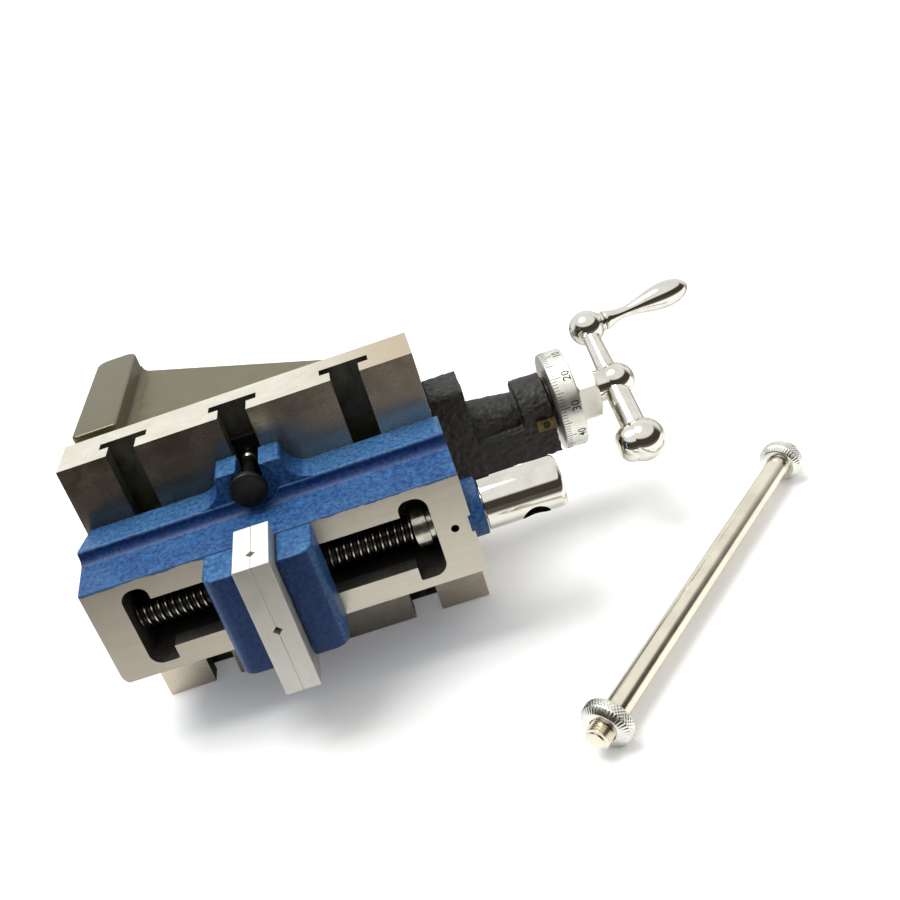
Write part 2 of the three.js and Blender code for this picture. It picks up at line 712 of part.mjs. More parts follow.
// Crank in one piece: hub, arms to both sides, grip ball and balance ball with its flat collar
function ballCrank() {
  const armX = hubStart + armOffset;
  const balanceX = armX + balanceOffset;
  const hub = bar('x', [hubRadius, hubRadius], [hubStart, hubStart + hubLength], mediumSides);
  const hubBall = ball(hubBallRadius, mediumSides, hubStart + hubLength);
  const gripBall = ball(gripBallRadius, mediumSides, armX, gripReach);
  const gripArm = bar('y', [gripArmRootRadius, gripArmTipRadius], [0, gripReach], smallSides, [armX, 0, 0]);
  const gripSeat = leaningBar(gripSeatRadius, [0, gripSeatReach]);
  const balanceBall = ball(balanceBallRadius, mediumSides, balanceX, -balanceReach);
  const balanceArm = bar('y', [balanceArmTipRadius, balanceArmRootRadius], [-balanceReach, 0], smallSides,
    [armX, 0, 0]);
  const collarRadii = [balanceCollarRadius, balanceCollarRadius];
  const balanceCollar = bar('x', collarRadii, [balanceX - balanceCollarReach, balanceX], mediumSides,
    [0, -balanceReach, 0]);
  const bore = leadJournalRadius + seatGap;
  const pinHole = crankPinRadius + seatGap;
  const pole = -gripBallRadius;
  const cuts = [
    bar('x', [bore, bore], [hubStart - overrun, hubStart + hubBoreDepth], smallSides),
    bar('z', [pinHole, pinHole], [-hubRadius - overrun, hubRadius + overrun], smallSides,
      [hubStart + crankPinPlace, 0, 0]),
    leaningBar(gripShankRadius + seatGap, [pole - overrun, gripSeatReach + overrun]),
    leaningBar(gripRivetRadius + seatGap, [pole - overrun, pole + gripRivetHeight + seatGap]),
  ];
  const whole = join(hub, hubBall, gripArm, gripBall, gripSeat, balanceArm, balanceBall, balanceCollar);
  return piece('ball_crank', cut(whole, ...cuts), 'chrome');
}

// Pin across the hub, turned with the crank
function crankPin() {
  const reach = hubRadius - seatGap;
  const place = [hubStart + crankPinPlace, 0, 0];
  const pin = bar('z', [crankPinRadius, crankPinRadius], [-reach, reach], smallSides, place);
  return piece('crank_pin', pin, 'steel');
}

// Turning grip with its shank through the ball, and the rivet sunk in the ball at the shank's end
function gripPieces() {
  const start = gripSeatReach + seatGap;
  const pole = -gripBallRadius;
  const curve = new THREE.SplineCurve([
    [0, gripRootRadius],
    [gripWaistPlace, gripWaistRadius],
    [(gripWaistPlace + gripBulgePlace) / 2, (gripWaistRadius + gripBulgeRadius) / 2],
    [gripBulgePlace, gripBulgeRadius],
    [gripTipPlace, gripTipRadius],
    [gripLength, 0],
  ].map(([place, radius]) => new THREE.Vector2(place, radius)));
  const outline = curve.getPoints(cornerSteps * 4).map((p) => [start + p.x, Math.max(p.y, 0)]);
  const shankEnds = [pole + gripRivetHeight + seatGap, start + overrun];
  const shank = bar('x', [gripShankRadius, gripShankRadius], shankEnds, smallSides);
  const rivet = turned('x', [
    [pole, gripRivetRadius / 2],
    [pole + gripRivetHeight / 2, gripRivetRadius],
    [pole + gripRivetHeight, gripRivetRadius],
  ], smallSides);
  const grip = join(turned('x', outline, mediumSides), shank);
  return [piece('grip', grip, 'chrome'), piece('grip_rivet', rivet, 'chrome')];
}

// Blue vice body: flange, tapering trough with a window in its ground face, ears and the screw's boss
function viseBody() {
  const halfLength = viseLength / 2;
  const along = [-halfLength, halfLength];
  const corner = viseFlangeCorner;
  const halfProfile = [
    [0, viseFlangeHeight / 2],
    [-viseFlangeDepth + corner, viseFlangeHeight / 2],
    [-viseFlangeDepth, viseFlangeHeight / 2 - corner],
    [-viseFlangeDepth - corner / 4, viseRootHeight / 2 + corner / 2],
    [-viseRootDepth, viseRootHeight / 2],
    [-viseShoulderDepth, viseShoulderHeight / 2],
    [-viseFaceDepth, viseFaceHeight / 2],
  ];
  const mirrored = halfProfile.map(([y, z]) => [y, -z]).reverse();
  const trough = extruded('x', outlineOf([...halfProfile, ...mirrored]), along);
  const boss = bar('x', [viseBossRadius, viseBossRadius], [halfLength - overrun, halfLength + viseBossLength],
    mediumSides, [0, -viseAxisDepth, 0]);
  const ears = [-1, 1].map((side) => ear(side));
  const cavity = block([-windowReach, windowReach], [-viseFaceDepth + faceThickness, -cavityFloor],
    [-windowEndHeight / 2, windowEndHeight / 2]);
  const slot = block([-windowReach + windowEndLength / 2, windowReach - windowEndLength / 2],
    [-viseFaceDepth - overrun, -viseFaceDepth + faceThickness + overrun],
    [-windowSlotHeight / 2, windowSlotHeight / 2]);
  const cuts = [cavity, slot];
  for (const side of [-1, 1]) {
    const ends = rising([side * windowReach, side * (windowReach - windowEndLength)]);
    const corners = Array(4).fill(windowCornerRadius);
    const shape = roundedRectangle(ends, [-windowEndHeight / 2, windowEndHeight / 2], corners);
    cuts.push(extruded('y', shape, [-viseFaceDepth - overrun, -viseFaceDepth + faceThickness + overrun]));
    const slotRadius = earSlotWidth / 2;
    const reach = [0, 0, side * clampReach];
    const slotZ = rising([side * clampReach, side * (earReach + overrun)]);
    cuts.push(bar('y', [slotRadius, slotRadius], [-viseFaceDepth, overrun], smallSides, reach));
    cuts.push(block([-slotRadius, slotRadius], [-viseFaceDepth, overrun], slotZ));
    const spotEnds = [-viseFaceDepth, -earDepth + spotFaceDepth];
    cuts.push(bar('y', [spotFaceRadius, spotFaceRadius], spotEnds, mediumSides, reach));
  }
  const bore = viseScrewRadius + seatGap;
  const tailBore = viseTailRadius + seatGap;
  const centre = [0, -viseAxisDepth, 0];
  const boreEnds = [windowReach - overrun, halfLength + viseBossLength + overrun];
  const tailEnds = [-windowReach - viseTailLength, -windowReach + overrun];
  cuts.push(bar('x', [bore, bore], boreEnds, mediumSides, centre));
  cuts.push(bar('x', [tailBore, tailBore], tailEnds, smallSides, centre));
  cuts.push(bar('y', [oilHoleRadius, oilHoleRadius], [-viseFaceDepth - overrun, -viseAxisDepth], smallSides,
    [oilHolePlace, 0, 0]));
  return piece('vise_body', cut(join(trough, boss, ...ears), ...cuts), 'blue');
}

// Clamping ear on one side of the vice body, with a concave fillet to the flange at each flank
function ear(side) {
  const [reach, half, radius] = [earReach, earWidth / 2, earFilletRadius];
  const root = viseFlangeHeight / 2;
  const shape = new THREE.Shape();
  shape.moveTo(-half - radius, root - overrun);
  shape.lineTo(half + radius, root - overrun);
  shape.lineTo(half + radius, root);
  shape.absarc(half + radius, root + radius, radius, 1.5 * Math.PI, Math.PI, true);
  shape.lineTo(half, reach);
  shape.lineTo(-half, reach);
  shape.lineTo(-half, root + radius);
  shape.absarc(-half - radius, root + radius, radius, 0, -Math.PI / 2, true);
  const points = shape.getPoints(cornerSteps).map((p) => [p.x + earShift, side * p.y]);
  return extruded('y', outlineOf(points), [-earDepth, 0]);
}

// Vice screw with a relieved middle, a tail for the far bearing, and its head with the cross hole
function viseScrew() {
  const halfLength = viseLength / 2;
  const headStart = halfLength + viseBossLength + seatGap;
  const headEnd = headStart + headLength;
  const tailTip = -windowReach - viseTailLength + seatGap;
  const waist = [jawCentre - viseWaistLength / 2, jawCentre + viseWaistLength / 2];
  const outline = [
    [tailTip, viseTailRadius],
    [-windowReach + seatGap, viseTailRadius],
    [-windowReach + seatGap, viseScrewRadius],
    [waist[0], viseScrewRadius],
    [waist[0], viseWaistRadius],
    [waist[1], viseWaistRadius],
    [waist[1], viseScrewRadius],
    [headStart, viseScrewRadius],
    [headStart, headRadius],
    [headEnd - headRound, headRadius],
  ];
  for (let i = 1; i <= cornerSteps; i += 1) {
    const angle = i / cornerSteps * Math.PI / 2;
    const drop = headRound * (1 - Math.cos(angle));
    outline.push([headEnd - headRound * (1 - Math.sin(angle)), headRadius - drop]);
  }
  const pinHole = collarPinRadius + seatGap;
  const through = headRadius + overrun;
  const crossBar = new THREE.CylinderGeometry(headHoleRadius, headHoleRadius, 2 * through, smallSides);
  const crossHole = solidOf(crossBar.rotateX(headHoleTurn).translate(headStart + headHolePlace, 0, 0));
  const across = [-viseScrewRadius - overrun, viseScrewRadius + overrun];
  const pinCut = bar('z', [pinHole, pinHole], across, smallSides, [collarPinX, 0, 0]);
  return piece('vise_screw', cut(turned('x', outline, mediumSides), crossHole, pinCut), 'chrome');
}

// Thrust collar inside the window's end, and the pin that fixes it on the screw
function collarPieces() {
  const shoulder = windowReach - seatGap;
  const end = shoulder - collarShoulderLength;
  const start = end - collarLength;
  const centre = [collarPinX, 0, 0];
  const bore = viseScrewRadius + seatGap;
  const pinHole = collarPinRadius + seatGap;
  const across = [-collarRadius - overrun, collarRadius + overrun];
  const outline = [
    [start, collarRadius],
    [end, collarRadius],
    [end, collarShoulderRadius],
    [shoulder, collarShoulderRadius],
  ];
  const collar = cut(
    turned('x', outline, mediumSides),
    bar('x', [bore, bore], [start - overrun, shoulder + overrun], mediumSides),
    bar('z', [pinHole, pinHole], across, smallSides, centre),
  );
  const reach = collarRadius - seatGap;
  const pin = bar('z', [collarPinRadius, collarPinRadius], [-reach, reach], smallSides, centre);
  return [piece('screw_collar', collar, 'steel'), piece('collar_pin', pin, 'steel')];
}

// One jaw, drawn to the right of the jaws' centre: casting, ground plate and the plate's two screws
function jawPieces(label) {
  const seat = -viseFaceDepth - seatGap;
  const plateEnds = [seatGap / 2, seatGap / 2 + jawPlateThickness];
  const castingStart = plateEnds[1] + seatGap;
  const castingEnds = [castingStart, castingStart + jawLength];
  const tongueEnds = [jawTongueStart, jawTongueStart + jawTongueLength];
  const bodyShape = roundedRectangle(castingEnds, [seat - jawDepth, seat], [0, jawCornerRadius, 0, 0]);
  const body = extruded('z', bodyShape, [-jawHeight / 2, jawHeight / 2]);
  const blockTop = -viseFaceDepth + faceThickness + seatGap;
  const bridge = block([castingEnds[0], tongueEnds[1]], [seat - overrun, seat + overrun],
    [-jawNeckHeight / 2, jawNeckHeight / 2]);
  const neck = block(tongueEnds, [seat, blockTop + overrun], [-jawNeckHeight / 2, jawNeckHeight / 2]);
  const tongue = block(tongueEnds, [blockTop, blockTop + jawBlockDepth],
    [-jawBlockHeight / 2, jawBlockHeight / 2]);
  const bore = viseScrewRadius + seatGap;
  const cuts = [bar('x', [bore, bore], [tongueEnds[0] - overrun, tongueEnds[1] + overrun], mediumSides,
    [0, -viseAxisDepth, 0])];
  const screwHole = plateScrewRadius + seatGap;
  const plateCuts = [];
  const screwY = seat - plateScrewInset / 2;
  const headHole = plateScrewHeadRadius + seatGap;
  const screws = [['lower', -1], ['upper', 1]].map(([place, side]) => {
    const at = [0, screwY, side * plateScrewSpacing / 2];
    const holeEnds = [castingEnds[0] - overrun, plateEnds[0] + plateScrewLength + seatGap];
    const throughPlate = [plateEnds[0] - overrun, plateEnds[1] + overrun];
    cuts.push(bar('x', [screwHole, screwHole], holeEnds, smallSides, at));
    plateCuts.push(bar('x', [screwHole, screwHole], throughPlate, smallSides, at));
    const sink = [[plateEnds[0] - overrun, headHole], [plateEnds[0] + seatGap, headHole],
      [plateEnds[0] + plateScrewHeadHeight + seatGap, screwHole]];
    plateCuts.push(turned('x', sink, smallSides, at));
    const shape = [[plateEnds[0] + seatGap, plateScrewHeadRadius],
      [plateEnds[0] + plateScrewHeadHeight, plateScrewRadius],
      [plateEnds[0] + plateScrewLength, plateScrewRadius]];
    const socket = hexagon('x', plateScrewSocketRadius,
      [plateEnds[0], plateEnds[0] + plateScrewHeadHeight]);
    const screw = cut(turned('x', shape, smallSides), socket);
    const mesh = piece(`plate_screw_${label}_${place}`, screw, 'blackSteel');
    mesh.position.set(...at);
    return mesh;
  });
  const plateY = [seat - jawPlateDepth, seat];
  const half = jawPlateHeight / 2;
  const vee = (centre) => outlineOf([
    [plateEnds[0] - overrun, centre - grooveWidth / 2 - overrun],
    [plateEnds[0] + grooveWidth / 2, centre],
    [plateEnds[0] - overrun, centre + grooveWidth / 2 + overrun],
  ]);
  const crossY = plateY[0] + grooveInset;
  plateCuts.push(extruded('z', vee(crossY), [-half - overrun, half + overrun]));
  plateCuts.push(extruded('y', vee(0), [plateY[0] - overrun, plateY[1] + overrun]));
  const plate = cut(block(plateEnds, plateY, [-half, half]), ...plateCuts);
  return [
    piece(`jaw_${label}`, cut(join(body, bridge, neck, tongue), ...cuts), 'blue'),
    piece(`jaw_plate_${label}`, plate, 'ground'),
    ...screws,
  ];
}

// Clamp screw through an ear and its T-nut in the middle slot
function clampPieces(label) {
  const seat = -earDepth + spotFaceDepth - seatGap;
  const cone = seat - clampConeLength;
  const front = cone - clampDiscThickness;
  const nutFace = slotNeckDepth + clampNutClearance;
  const nutBack = slotFloor - clampNutClearance;
  const outline = [
    [front, clampDiscRadius - clampDiscEdge],
    [front + clampDiscEdge, clampDiscRadius],
    [cone, clampDiscRadius],
    [seat, clampSeatRadius],
    [seat, clampNeckRadius],
    [clampBeadPlace - clampBeadRadius, clampNeckRadius],
  ];
  for (let i = 1; i < cornerSteps; i += 1) {
    const angle = i / cornerSteps * Math.PI;
    const swell = clampNeckRadius + (clampBeadRadius - clampNeckRadius) * Math.sin(angle);
    outline.push([clampBeadPlace - clampBeadRadius * Math.cos(angle), swell]);
  }
  outline.push([clampBeadPlace + clampBeadRadius, clampThreadRadius], [nutBack, clampThreadRadius]);
  const screw = piece(`clamp_screw_${label}`, turned('y', outline, mediumSides), 'blackSteel');
  const halfWidth = slotTeeWidth / 2 - clampNutClearance;
  const hole = clampThreadRadius + seatGap;
  const nut = cut(
    block([-halfWidth - clampShift, halfWidth - clampShift], [nutFace, nutBack],
      [-clampNutLength / 2, clampNutLength / 2]),
    bar('y', [hole, hole], [nutFace - overrun, nutBack + overrun], smallSides),
  );
  return [screw, piece(`clamp_nut_${label}`, nut, 'blackSteel')];
}

// Loose bar for the vice's cross hole, along its own X, with a knurled nut at each end
function tommyPieces() {
  const half = tommyLength / 2;
  const rod = piece('tommy_rod', turned('x', [
    [-half, tommyRadius - tommyEdge],
    [-half + tommyEdge, tommyRadius],
    [half - tommyEdge, tommyRadius],
    [half, tommyRadius - tommyEdge],
  ], mediumSides), 'nickel');
  const nuts = [['near', -1], ['far', 1]].map(([label, side]) => {
    const ends = rising([side * (half - tommyNutInset), side * (half - tommyNutInset - tommyNutLength)]);
    const hole = tommyRadius + seatGap;
    const solid = cut(turned('x', [
      [ends[0], tommyNutRadius - tommyNutEdge],
      [ends[0] + tommyNutEdge, tommyNutRadius],
      [ends[1] - tommyNutEdge, tommyNutRadius],
      [ends[1], tommyNutRadius - tommyNutEdge],
    ], mediumSides), bar('x', [hole, hole], [ends[0] - overrun, ends[1] + overrun], mediumSides));
    return piece(`tommy_nut_${label}`, solid, 'nickel');
  });
  return [rod, ...nuts];
}

const leadAxis = [0, leadAxisDepth, 0];
const dialEnds = [dialStart, dialStart + dialWidth];
const washerEnds = [washerStart, washerStart + washerThickness];

const base = groupAt([0, 0, 0], [
  angleBase(),
  leadScrewBracket(),
  ...bracketScrews(),
  ...indexPieces(),
  groupAt(leadAxis, [journalRing('thrust_washer', washerRadius, washerEnds, 'steel')]),
]);

const gripParts = groupAt([hubStart + armOffset, gripReach, 0], gripPieces());
gripParts.rotation.z = gripLean;

const screwLine = groupAt(leadAxis, [
  journalRing('dial', dialRadius, dialEnds, 'satin', dialEdge),
  dialNut(),
  groupAt([0, 0, 0], [leadScrew(), ballCrank(), crankPin(), gripParts], crankTurn),
]);

const rightJaw = groupAt([jawCentre, 0, 0], jawPieces('right'));
const leftJaw = groupAt([jawCentre, 0, 0], jawPieces('left'));
leftJaw.rotation.y = Math.PI;

const vise = groupAt([0, 0, 0], [
  viseBody(),
  groupAt([0, -viseAxisDepth, 0], [viseScrew(), ...collarPieces()]),
  rightJaw,
  leftJaw,
  groupAt([clampShift, 0, clampReach], clampPieces('upper')),
  groupAt([clampShift, 0, -clampReach], clampPieces('lower')),
]);

const table = groupAt([0, 0, 0], [slideTable(), ...gibPieces(), ...leadNutPieces(), vise]);

const tommyBar = groupAt([tommyCentreX, tommyCentreY, tommyNutRadius - tableWidth / 2], tommyPieces());
tommyBar.rotation.z = tommyTurn;

const verticalSlide = groupAt([0, -originDepth, tableWidth / 2], [base, screwLine, table, tommyBar]);
verticalSlide.name = 'milling_vertical_slide';

export default verticalSlide;
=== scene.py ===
"""Looks of a milling vertical slide with its vice and loose tommy bar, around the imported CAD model.

The slide lies on its side. Shapes are drawn in millimetres in its own frame: X along the lead screw towards
the crank, Y from the slotted face of the table towards the base, Z up from the table's middle. `Form.piece`
turns them into metres in the row frame.
"""
from __future__ import annotations

import logging
import math
from collections.abc import Callable, Iterable, Sequence
from dataclasses import dataclass, field
from enum import Enum

import bmesh
import bpy
from mathutils import Matrix, Vector, noise

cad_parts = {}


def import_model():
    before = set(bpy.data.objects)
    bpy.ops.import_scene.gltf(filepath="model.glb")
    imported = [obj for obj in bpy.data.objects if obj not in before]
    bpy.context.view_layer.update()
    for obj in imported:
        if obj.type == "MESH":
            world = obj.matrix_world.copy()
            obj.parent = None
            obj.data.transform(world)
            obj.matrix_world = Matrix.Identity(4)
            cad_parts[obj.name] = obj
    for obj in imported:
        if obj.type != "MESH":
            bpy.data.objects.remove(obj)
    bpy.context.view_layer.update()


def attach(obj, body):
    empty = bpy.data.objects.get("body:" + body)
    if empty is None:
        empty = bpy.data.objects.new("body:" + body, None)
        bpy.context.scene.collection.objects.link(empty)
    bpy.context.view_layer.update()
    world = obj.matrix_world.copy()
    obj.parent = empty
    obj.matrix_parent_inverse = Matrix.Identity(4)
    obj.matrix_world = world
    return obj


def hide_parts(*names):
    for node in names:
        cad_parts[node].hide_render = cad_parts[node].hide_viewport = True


LOG = logging.getLogger("vertical_slide")

Pair = tuple[float, float]
Triple = tuple[float, float, float]
Face = tuple[int, ...]
Tone = tuple[int, int, int]
Colour = tuple[float, float, float, float]
Socket = bpy.types.NodeSocket

MILLIMETRE = 0.001
ORIGIN_DEPTH = 15.7
ORIGIN_HEIGHT = 50.0
GAP = 0.3
OVERRUN = 1.0
NEAR = 0.1
WELD_DISTANCE = 0.002
FLAT_ANGLE = 0.4
SHARP_ANGLE = 32.0
TURNED_ANGLE = 26.0
SOFT_ANGLE = 50.0
STEEP = 0.8
UPRIGHT = 0.9
NORMAL_WEIGHT = 90
FINE = 96
BOLD = 64
WHITE = (1.0, 1.0, 1.0, 1.0)


class Axis(Enum):
    """One of the three directions a shape can run along."""

    X = 0
    Y = 1
    Z = 2

    def point(self, u: float, v: float, along: float) -> Vector:
        """Point from two coordinates across the axis and one along it.

        Args:
            u: First coordinate across the axis, in the order X, Y, Z.
            v: Second coordinate across the axis.
            along: Coordinate along the axis.

        Returns:
            The point in the slide's frame.
        """
        if self is Axis.X:
            return Vector((along, u, v))
        if self is Axis.Y:
            return Vector((u, along, v))
        return Vector((u, v, along))


def arc(centre: Pair, radius: float, start: float, stop: float, steps: int = 8) -> list[Pair]:
    """Points along an arc.

    Args:
        centre: Centre of the arc.
        radius: Radius of the arc.
        start: Angle of the first point, in degrees.
        stop: Angle of the last point, in degrees.
        steps: Number of stretches between the points.

    Returns:
        The points, first and last included.
    """
    turns = [math.radians(start + (stop - start) * i / steps) for i in range(steps + 1)]
    return [(centre[0] + radius * math.cos(t), centre[1] + radius * math.sin(t)) for t in turns]


def rounded_box(low: Pair, high: Pair, radii: Sequence[float], steps: int = 8) -> list[Pair]:
    """Outline of a rectangle with rounded corners.

    Args:
        low: Lowest corner.
        high: Highest corner.
        radii: Radius of each corner, from the lowest one round anticlockwise.
        steps: Number of stretches in each corner.

    Returns:
        The points of the outline, anticlockwise.
    """
    corners = [(low[0], low[1], 1, 1, 180), (high[0], low[1], -1, 1, 270),
               (high[0], high[1], -1, -1, 0), (low[0], high[1], 1, -1, 90)]
    points: list[Pair] = []
    for (u, v, du, dv, turn), radius in zip(corners, radii):
        if radius <= 0:
            points.append((u, v))
        else:
            points += arc((u + du * radius, v + dv * radius), radius, turn, turn + 90, steps)
    return points


@dataclass
class Form:
    """Closed surface in millimetres, in the slide's frame.

    Attributes:
        points: Corners of the surface.
        faces: Faces as indices of their corners.
    """

    points: list[Vector] = field(default_factory=list)
    faces: list[Face] = field(default_factory=list)

    @classmethod
    def prism(cls, axis: Axis, outline: Sequence[Pair], ends: Pair) -> Form:
        """Outline pushed along an axis.

        Args:
            axis: Direction to push along.
            outline: Points across the axis.
            ends: Low and high end along the axis.

        Returns:
            The closed form.
        """
        count = len(outline)
        points = [axis.point(u, v, end) for end in ends for u, v in outline]
        ring = [(i, (i + 1) % count) for i in range(count)]
        faces: list[Face] = [(i, j, count + j, count + i) for i, j in ring]
        faces += [tuple(reversed(range(count))), tuple(range(count, 2 * count))]
        return cls(points, faces)._outward()

    @classmethod
    def block(cls, low: Triple, high: Triple) -> Form:
        """Rectangular block between two corners."""
        outline = [(low[0], low[1]), (high[0], low[1]), (high[0], high[1]), (low[0], high[1])]
        return cls.prism(Axis.Z, outline, (low[2], high[2]))

    @classmethod
    def lathe(cls, axis: Axis, outline: Sequence[Pair], sides: int = FINE, centre: Triple = (0, 0, 0),
              ring: bool = False) -> Form:
        """Outline turned about an axis.

        Args:
            axis: Direction of the axis.
            outline: Places along the axis with their radii.
            sides: Number of flats round the form.
            centre: Point that the axis passes through.
            ring: Whether the outline closes on itself away from the axis.

        Returns:
            The closed form.
        """
        rows = list(outline)
        if not ring and rows[0][1] > 0:
            rows.insert(0, (rows[0][0], 0.0))
        if not ring and rows[-1][1] > 0:
            rows.append((rows[-1][0], 0.0))
        points: list[Vector] = []
        starts: list[tuple[int, bool]] = []
        for place, radius in rows:
            starts.append((len(points), radius <= 0))
            count = 1 if radius <= 0 else sides
            for i in range(count):
                turn = math.tau * i / sides
                spoke = axis.point(radius * math.cos(turn), radius * math.sin(turn), place)
                points.append(spoke + Vector(centre))
        faces: list[Face] = []
        following = starts[1:] + starts[:1] if ring else starts[1:]
        for (a, a_pole), (b, b_pole) in zip(starts, following):
            for i in range(sides):
                j = (i + 1) % sides
                if a_pole and b_pole:
                    continue
                if a_pole:
                    faces.append((a, b + i, b + j))
                elif b_pole:
                    faces.append((a + i, b, a + j))
                else:
                    faces.append((a + i, b + i, b + j, a + j))
        return cls(points, faces)._outward()

    @classmethod
    def bar(cls, axis: Axis, radius: float, ends: Pair, centre: Triple = (0, 0, 0), sides: int = 48) -> Form:
        """Plain round bar along an axis."""
        return cls.lathe(axis, [(ends[0], radius), (ends[1], radius)], sides, centre)

    @classmethod
    def hexagon(cls, axis: Axis, radius: float, ends: Pair, centre: Triple = (0, 0, 0)) -> Form:
        """Six-sided bar along an axis, with its corners at a radius."""
        return cls.bar(axis, radius, ends, centre, 6)

    @classmethod
    def thread(cls, root: float, crest: float, pitch: float, ends: Pair, hand: int = 1, sides: int = 28,
               crest_share: float = 0.16) -> Form:
        """Screw thread along X as one swept surface, which a core bar closes at its ends.

        Args:
            root: Radius of the groove's floor.
            crest: Radius of the ridge.
            pitch: Distance between ridges.
            ends: Low and high end along X.
            hand: 1 for a right-hand thread, -1 for a left-hand one.
            sides: Steps in each turn.
            crest_share: Flat share of the pitch on the ridge, and as much in the groove.

        Returns:
            The thread's surface.
        """
        share = crest_share / 2
        section = [(-share, crest), (share, crest), (0.5 - share, root), (0.5 + share, root)]
        steps = int((ends[1] - ends[0]) / pitch + 2) * sides
        points: list[Vector] = []
        for i in range(steps + 1):
            turn = hand * math.tau * i / sides
            for offset, radius in section:
                place = ends[0] + pitch * (i / sides - 1 + offset)
                x = min(max(place, ends[0]), ends[1])
                reach = radius if x == place else root
                points.append(Vector((x, reach * math.cos(turn), reach * math.sin(turn))))
        faces: list[Face] = []
        for i in range(steps):
            for k in range(3):
                a, b = 4 * i + k, 4 * (i + 1) + k
                faces.append((a, a + 1, b + 1, b) if hand > 0 else (b, b + 1, a + 1, a))
            if i + sides < steps:
                a, b, c, d = 4 * i + 3, 4 * (i + sides), 4 * (i + sides + 1), 4 * (i + 1) + 3
                faces.append((a, b, c, d) if hand > 0 else (d, c, b, a))
        return cls(points, faces)

    @classmethod
    def of_node(cls, node: str) -> Form:
        """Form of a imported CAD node."""
        mesh = bpy.data.objects[node].data
        origin = Vector((0, ORIGIN_DEPTH, -ORIGIN_HEIGHT))
        points = [v.co / MILLIMETRE + origin for v in mesh.vertices]
        return cls(points, [tuple(p.vertices) for p in mesh.polygons])

    def _outward(self) -> Form:
        """The same form with its faces turned outwards."""
        mesh = self._to_bmesh()
        bmesh.ops.recalc_face_normals(mesh, faces=mesh.faces)
        return Form._from_bmesh(mesh)

    def _to_bmesh(self) -> bmesh.types.BMesh:
        """The form as an editable mesh."""
        mesh = bmesh.new()
        verts = [mesh.verts.new(p) for p in self.points]
        for face in self.faces:
            if len(set(face)) == len(face):
                try:
                    mesh.faces.new([verts[i] for i in face])
                except ValueError:
                    LOG.debug("a face is there already")
        return mesh

    @classmethod
    def _from_bmesh(cls, mesh: bmesh.types.BMesh) -> Form:
        """The form of an editable mesh, which is freed."""
        mesh.verts.index_update()
        faces = [tuple(v.index for v in face.verts) for face in mesh.faces]
        made = cls([v.co.copy() for v in mesh.verts], faces)
        mesh.free()
        return made

    def _object(self, name: str) -> bpy.types.Object:
        """The form as an object of its own, in millimetres."""
        mesh = bpy.data.meshes.new(name)
        mesh.from_pydata([tuple(p) for p in self.points], [], self.faces)
        return placed(name, mesh)

    @staticmethod
    def _modified(base: bpy.types.Object, *tools: bpy.types.Object) -> bmesh.types.BMesh:
        """Applies an object's modifiers, then removes it and the tools that they need.

        Args:
            base: Object with modifiers.
            *tools: Objects that the modifiers use.

        Returns:
            The mesh as it stood with the modifiers.
        """
        shown = base.evaluated_get(bpy.context.evaluated_depsgraph_get())
        mesh = bmesh.new()
        mesh.from_mesh(shown.to_mesh())
        shown.to_mesh_clear()
        for thing in (base, *tools):
            data = thing.data
            bpy.data.objects.remove(thing)
            bpy.data.meshes.remove(data)
        return mesh

    def _combined(self, others: Iterable[Form], operation: str) -> Form:
        """Puts this form through a boolean operation with each of the others.

        Args:
            others: Forms to add, cut out or keep to.
            operation: UNION, DIFFERENCE or INTERSECT.

        Returns:
            What is left, with its corners merged.
        """
        base = self._object("combine_base")
        tools = [other._object("combine_tool") for other in others]
        for tool in tools:
            step = base.modifiers.new("combine", "BOOLEAN")
            step.operation = operation
            step.solver = "EXACT"
            step.object = tool
        mesh = self._modified(base, *tools)
        bmesh.ops.remove_doubles(mesh, verts=mesh.verts, dist=WELD_DISTANCE)
        return Form._from_bmesh(mesh)

    def joined(self, *others: Form) -> Form:
        """This form united with others."""
        return self._combined(others, "UNION")

    def less(self, *others: Form) -> Form:
        """This form with others cut out of it."""
        return self._combined(others, "DIFFERENCE")

    def within(self, other: Form) -> Form:
        """The part of this form that lies in another."""
        return self._combined([other], "INTERSECT")

    def beside(self, *others: Form) -> Form:
        """This form and others as one set of faces, with nothing cut."""
        points, faces = list(self.points), list(self.faces)
        for other in others:
            start = len(points)
            points += other.points
            faces += [tuple(start + i for i in face) for face in other.faces]
        return Form(points, faces)

    def moved(self, matrix: Matrix) -> Form:
        """This form with a matrix applied to its points."""
        return Form([matrix @ p for p in self.points], self.faces)

    def turned(self, angle: float, axis: Axis, centre: Triple = (0, 0, 0)) -> Form:
        """This form turned about an axis through a point, by an angle in degrees."""
        there = Matrix.Translation(Vector(centre))
        spin = Matrix.Rotation(math.radians(angle), 4, axis.name)
        return self.moved(there @ spin @ there.inverted())

    def shifted(self, x: float = 0.0, y: float = 0.0, z: float = 0.0) -> Form:
        """This form moved by three lengths."""
        return self.moved(Matrix.Translation(Vector((x, y, z))))

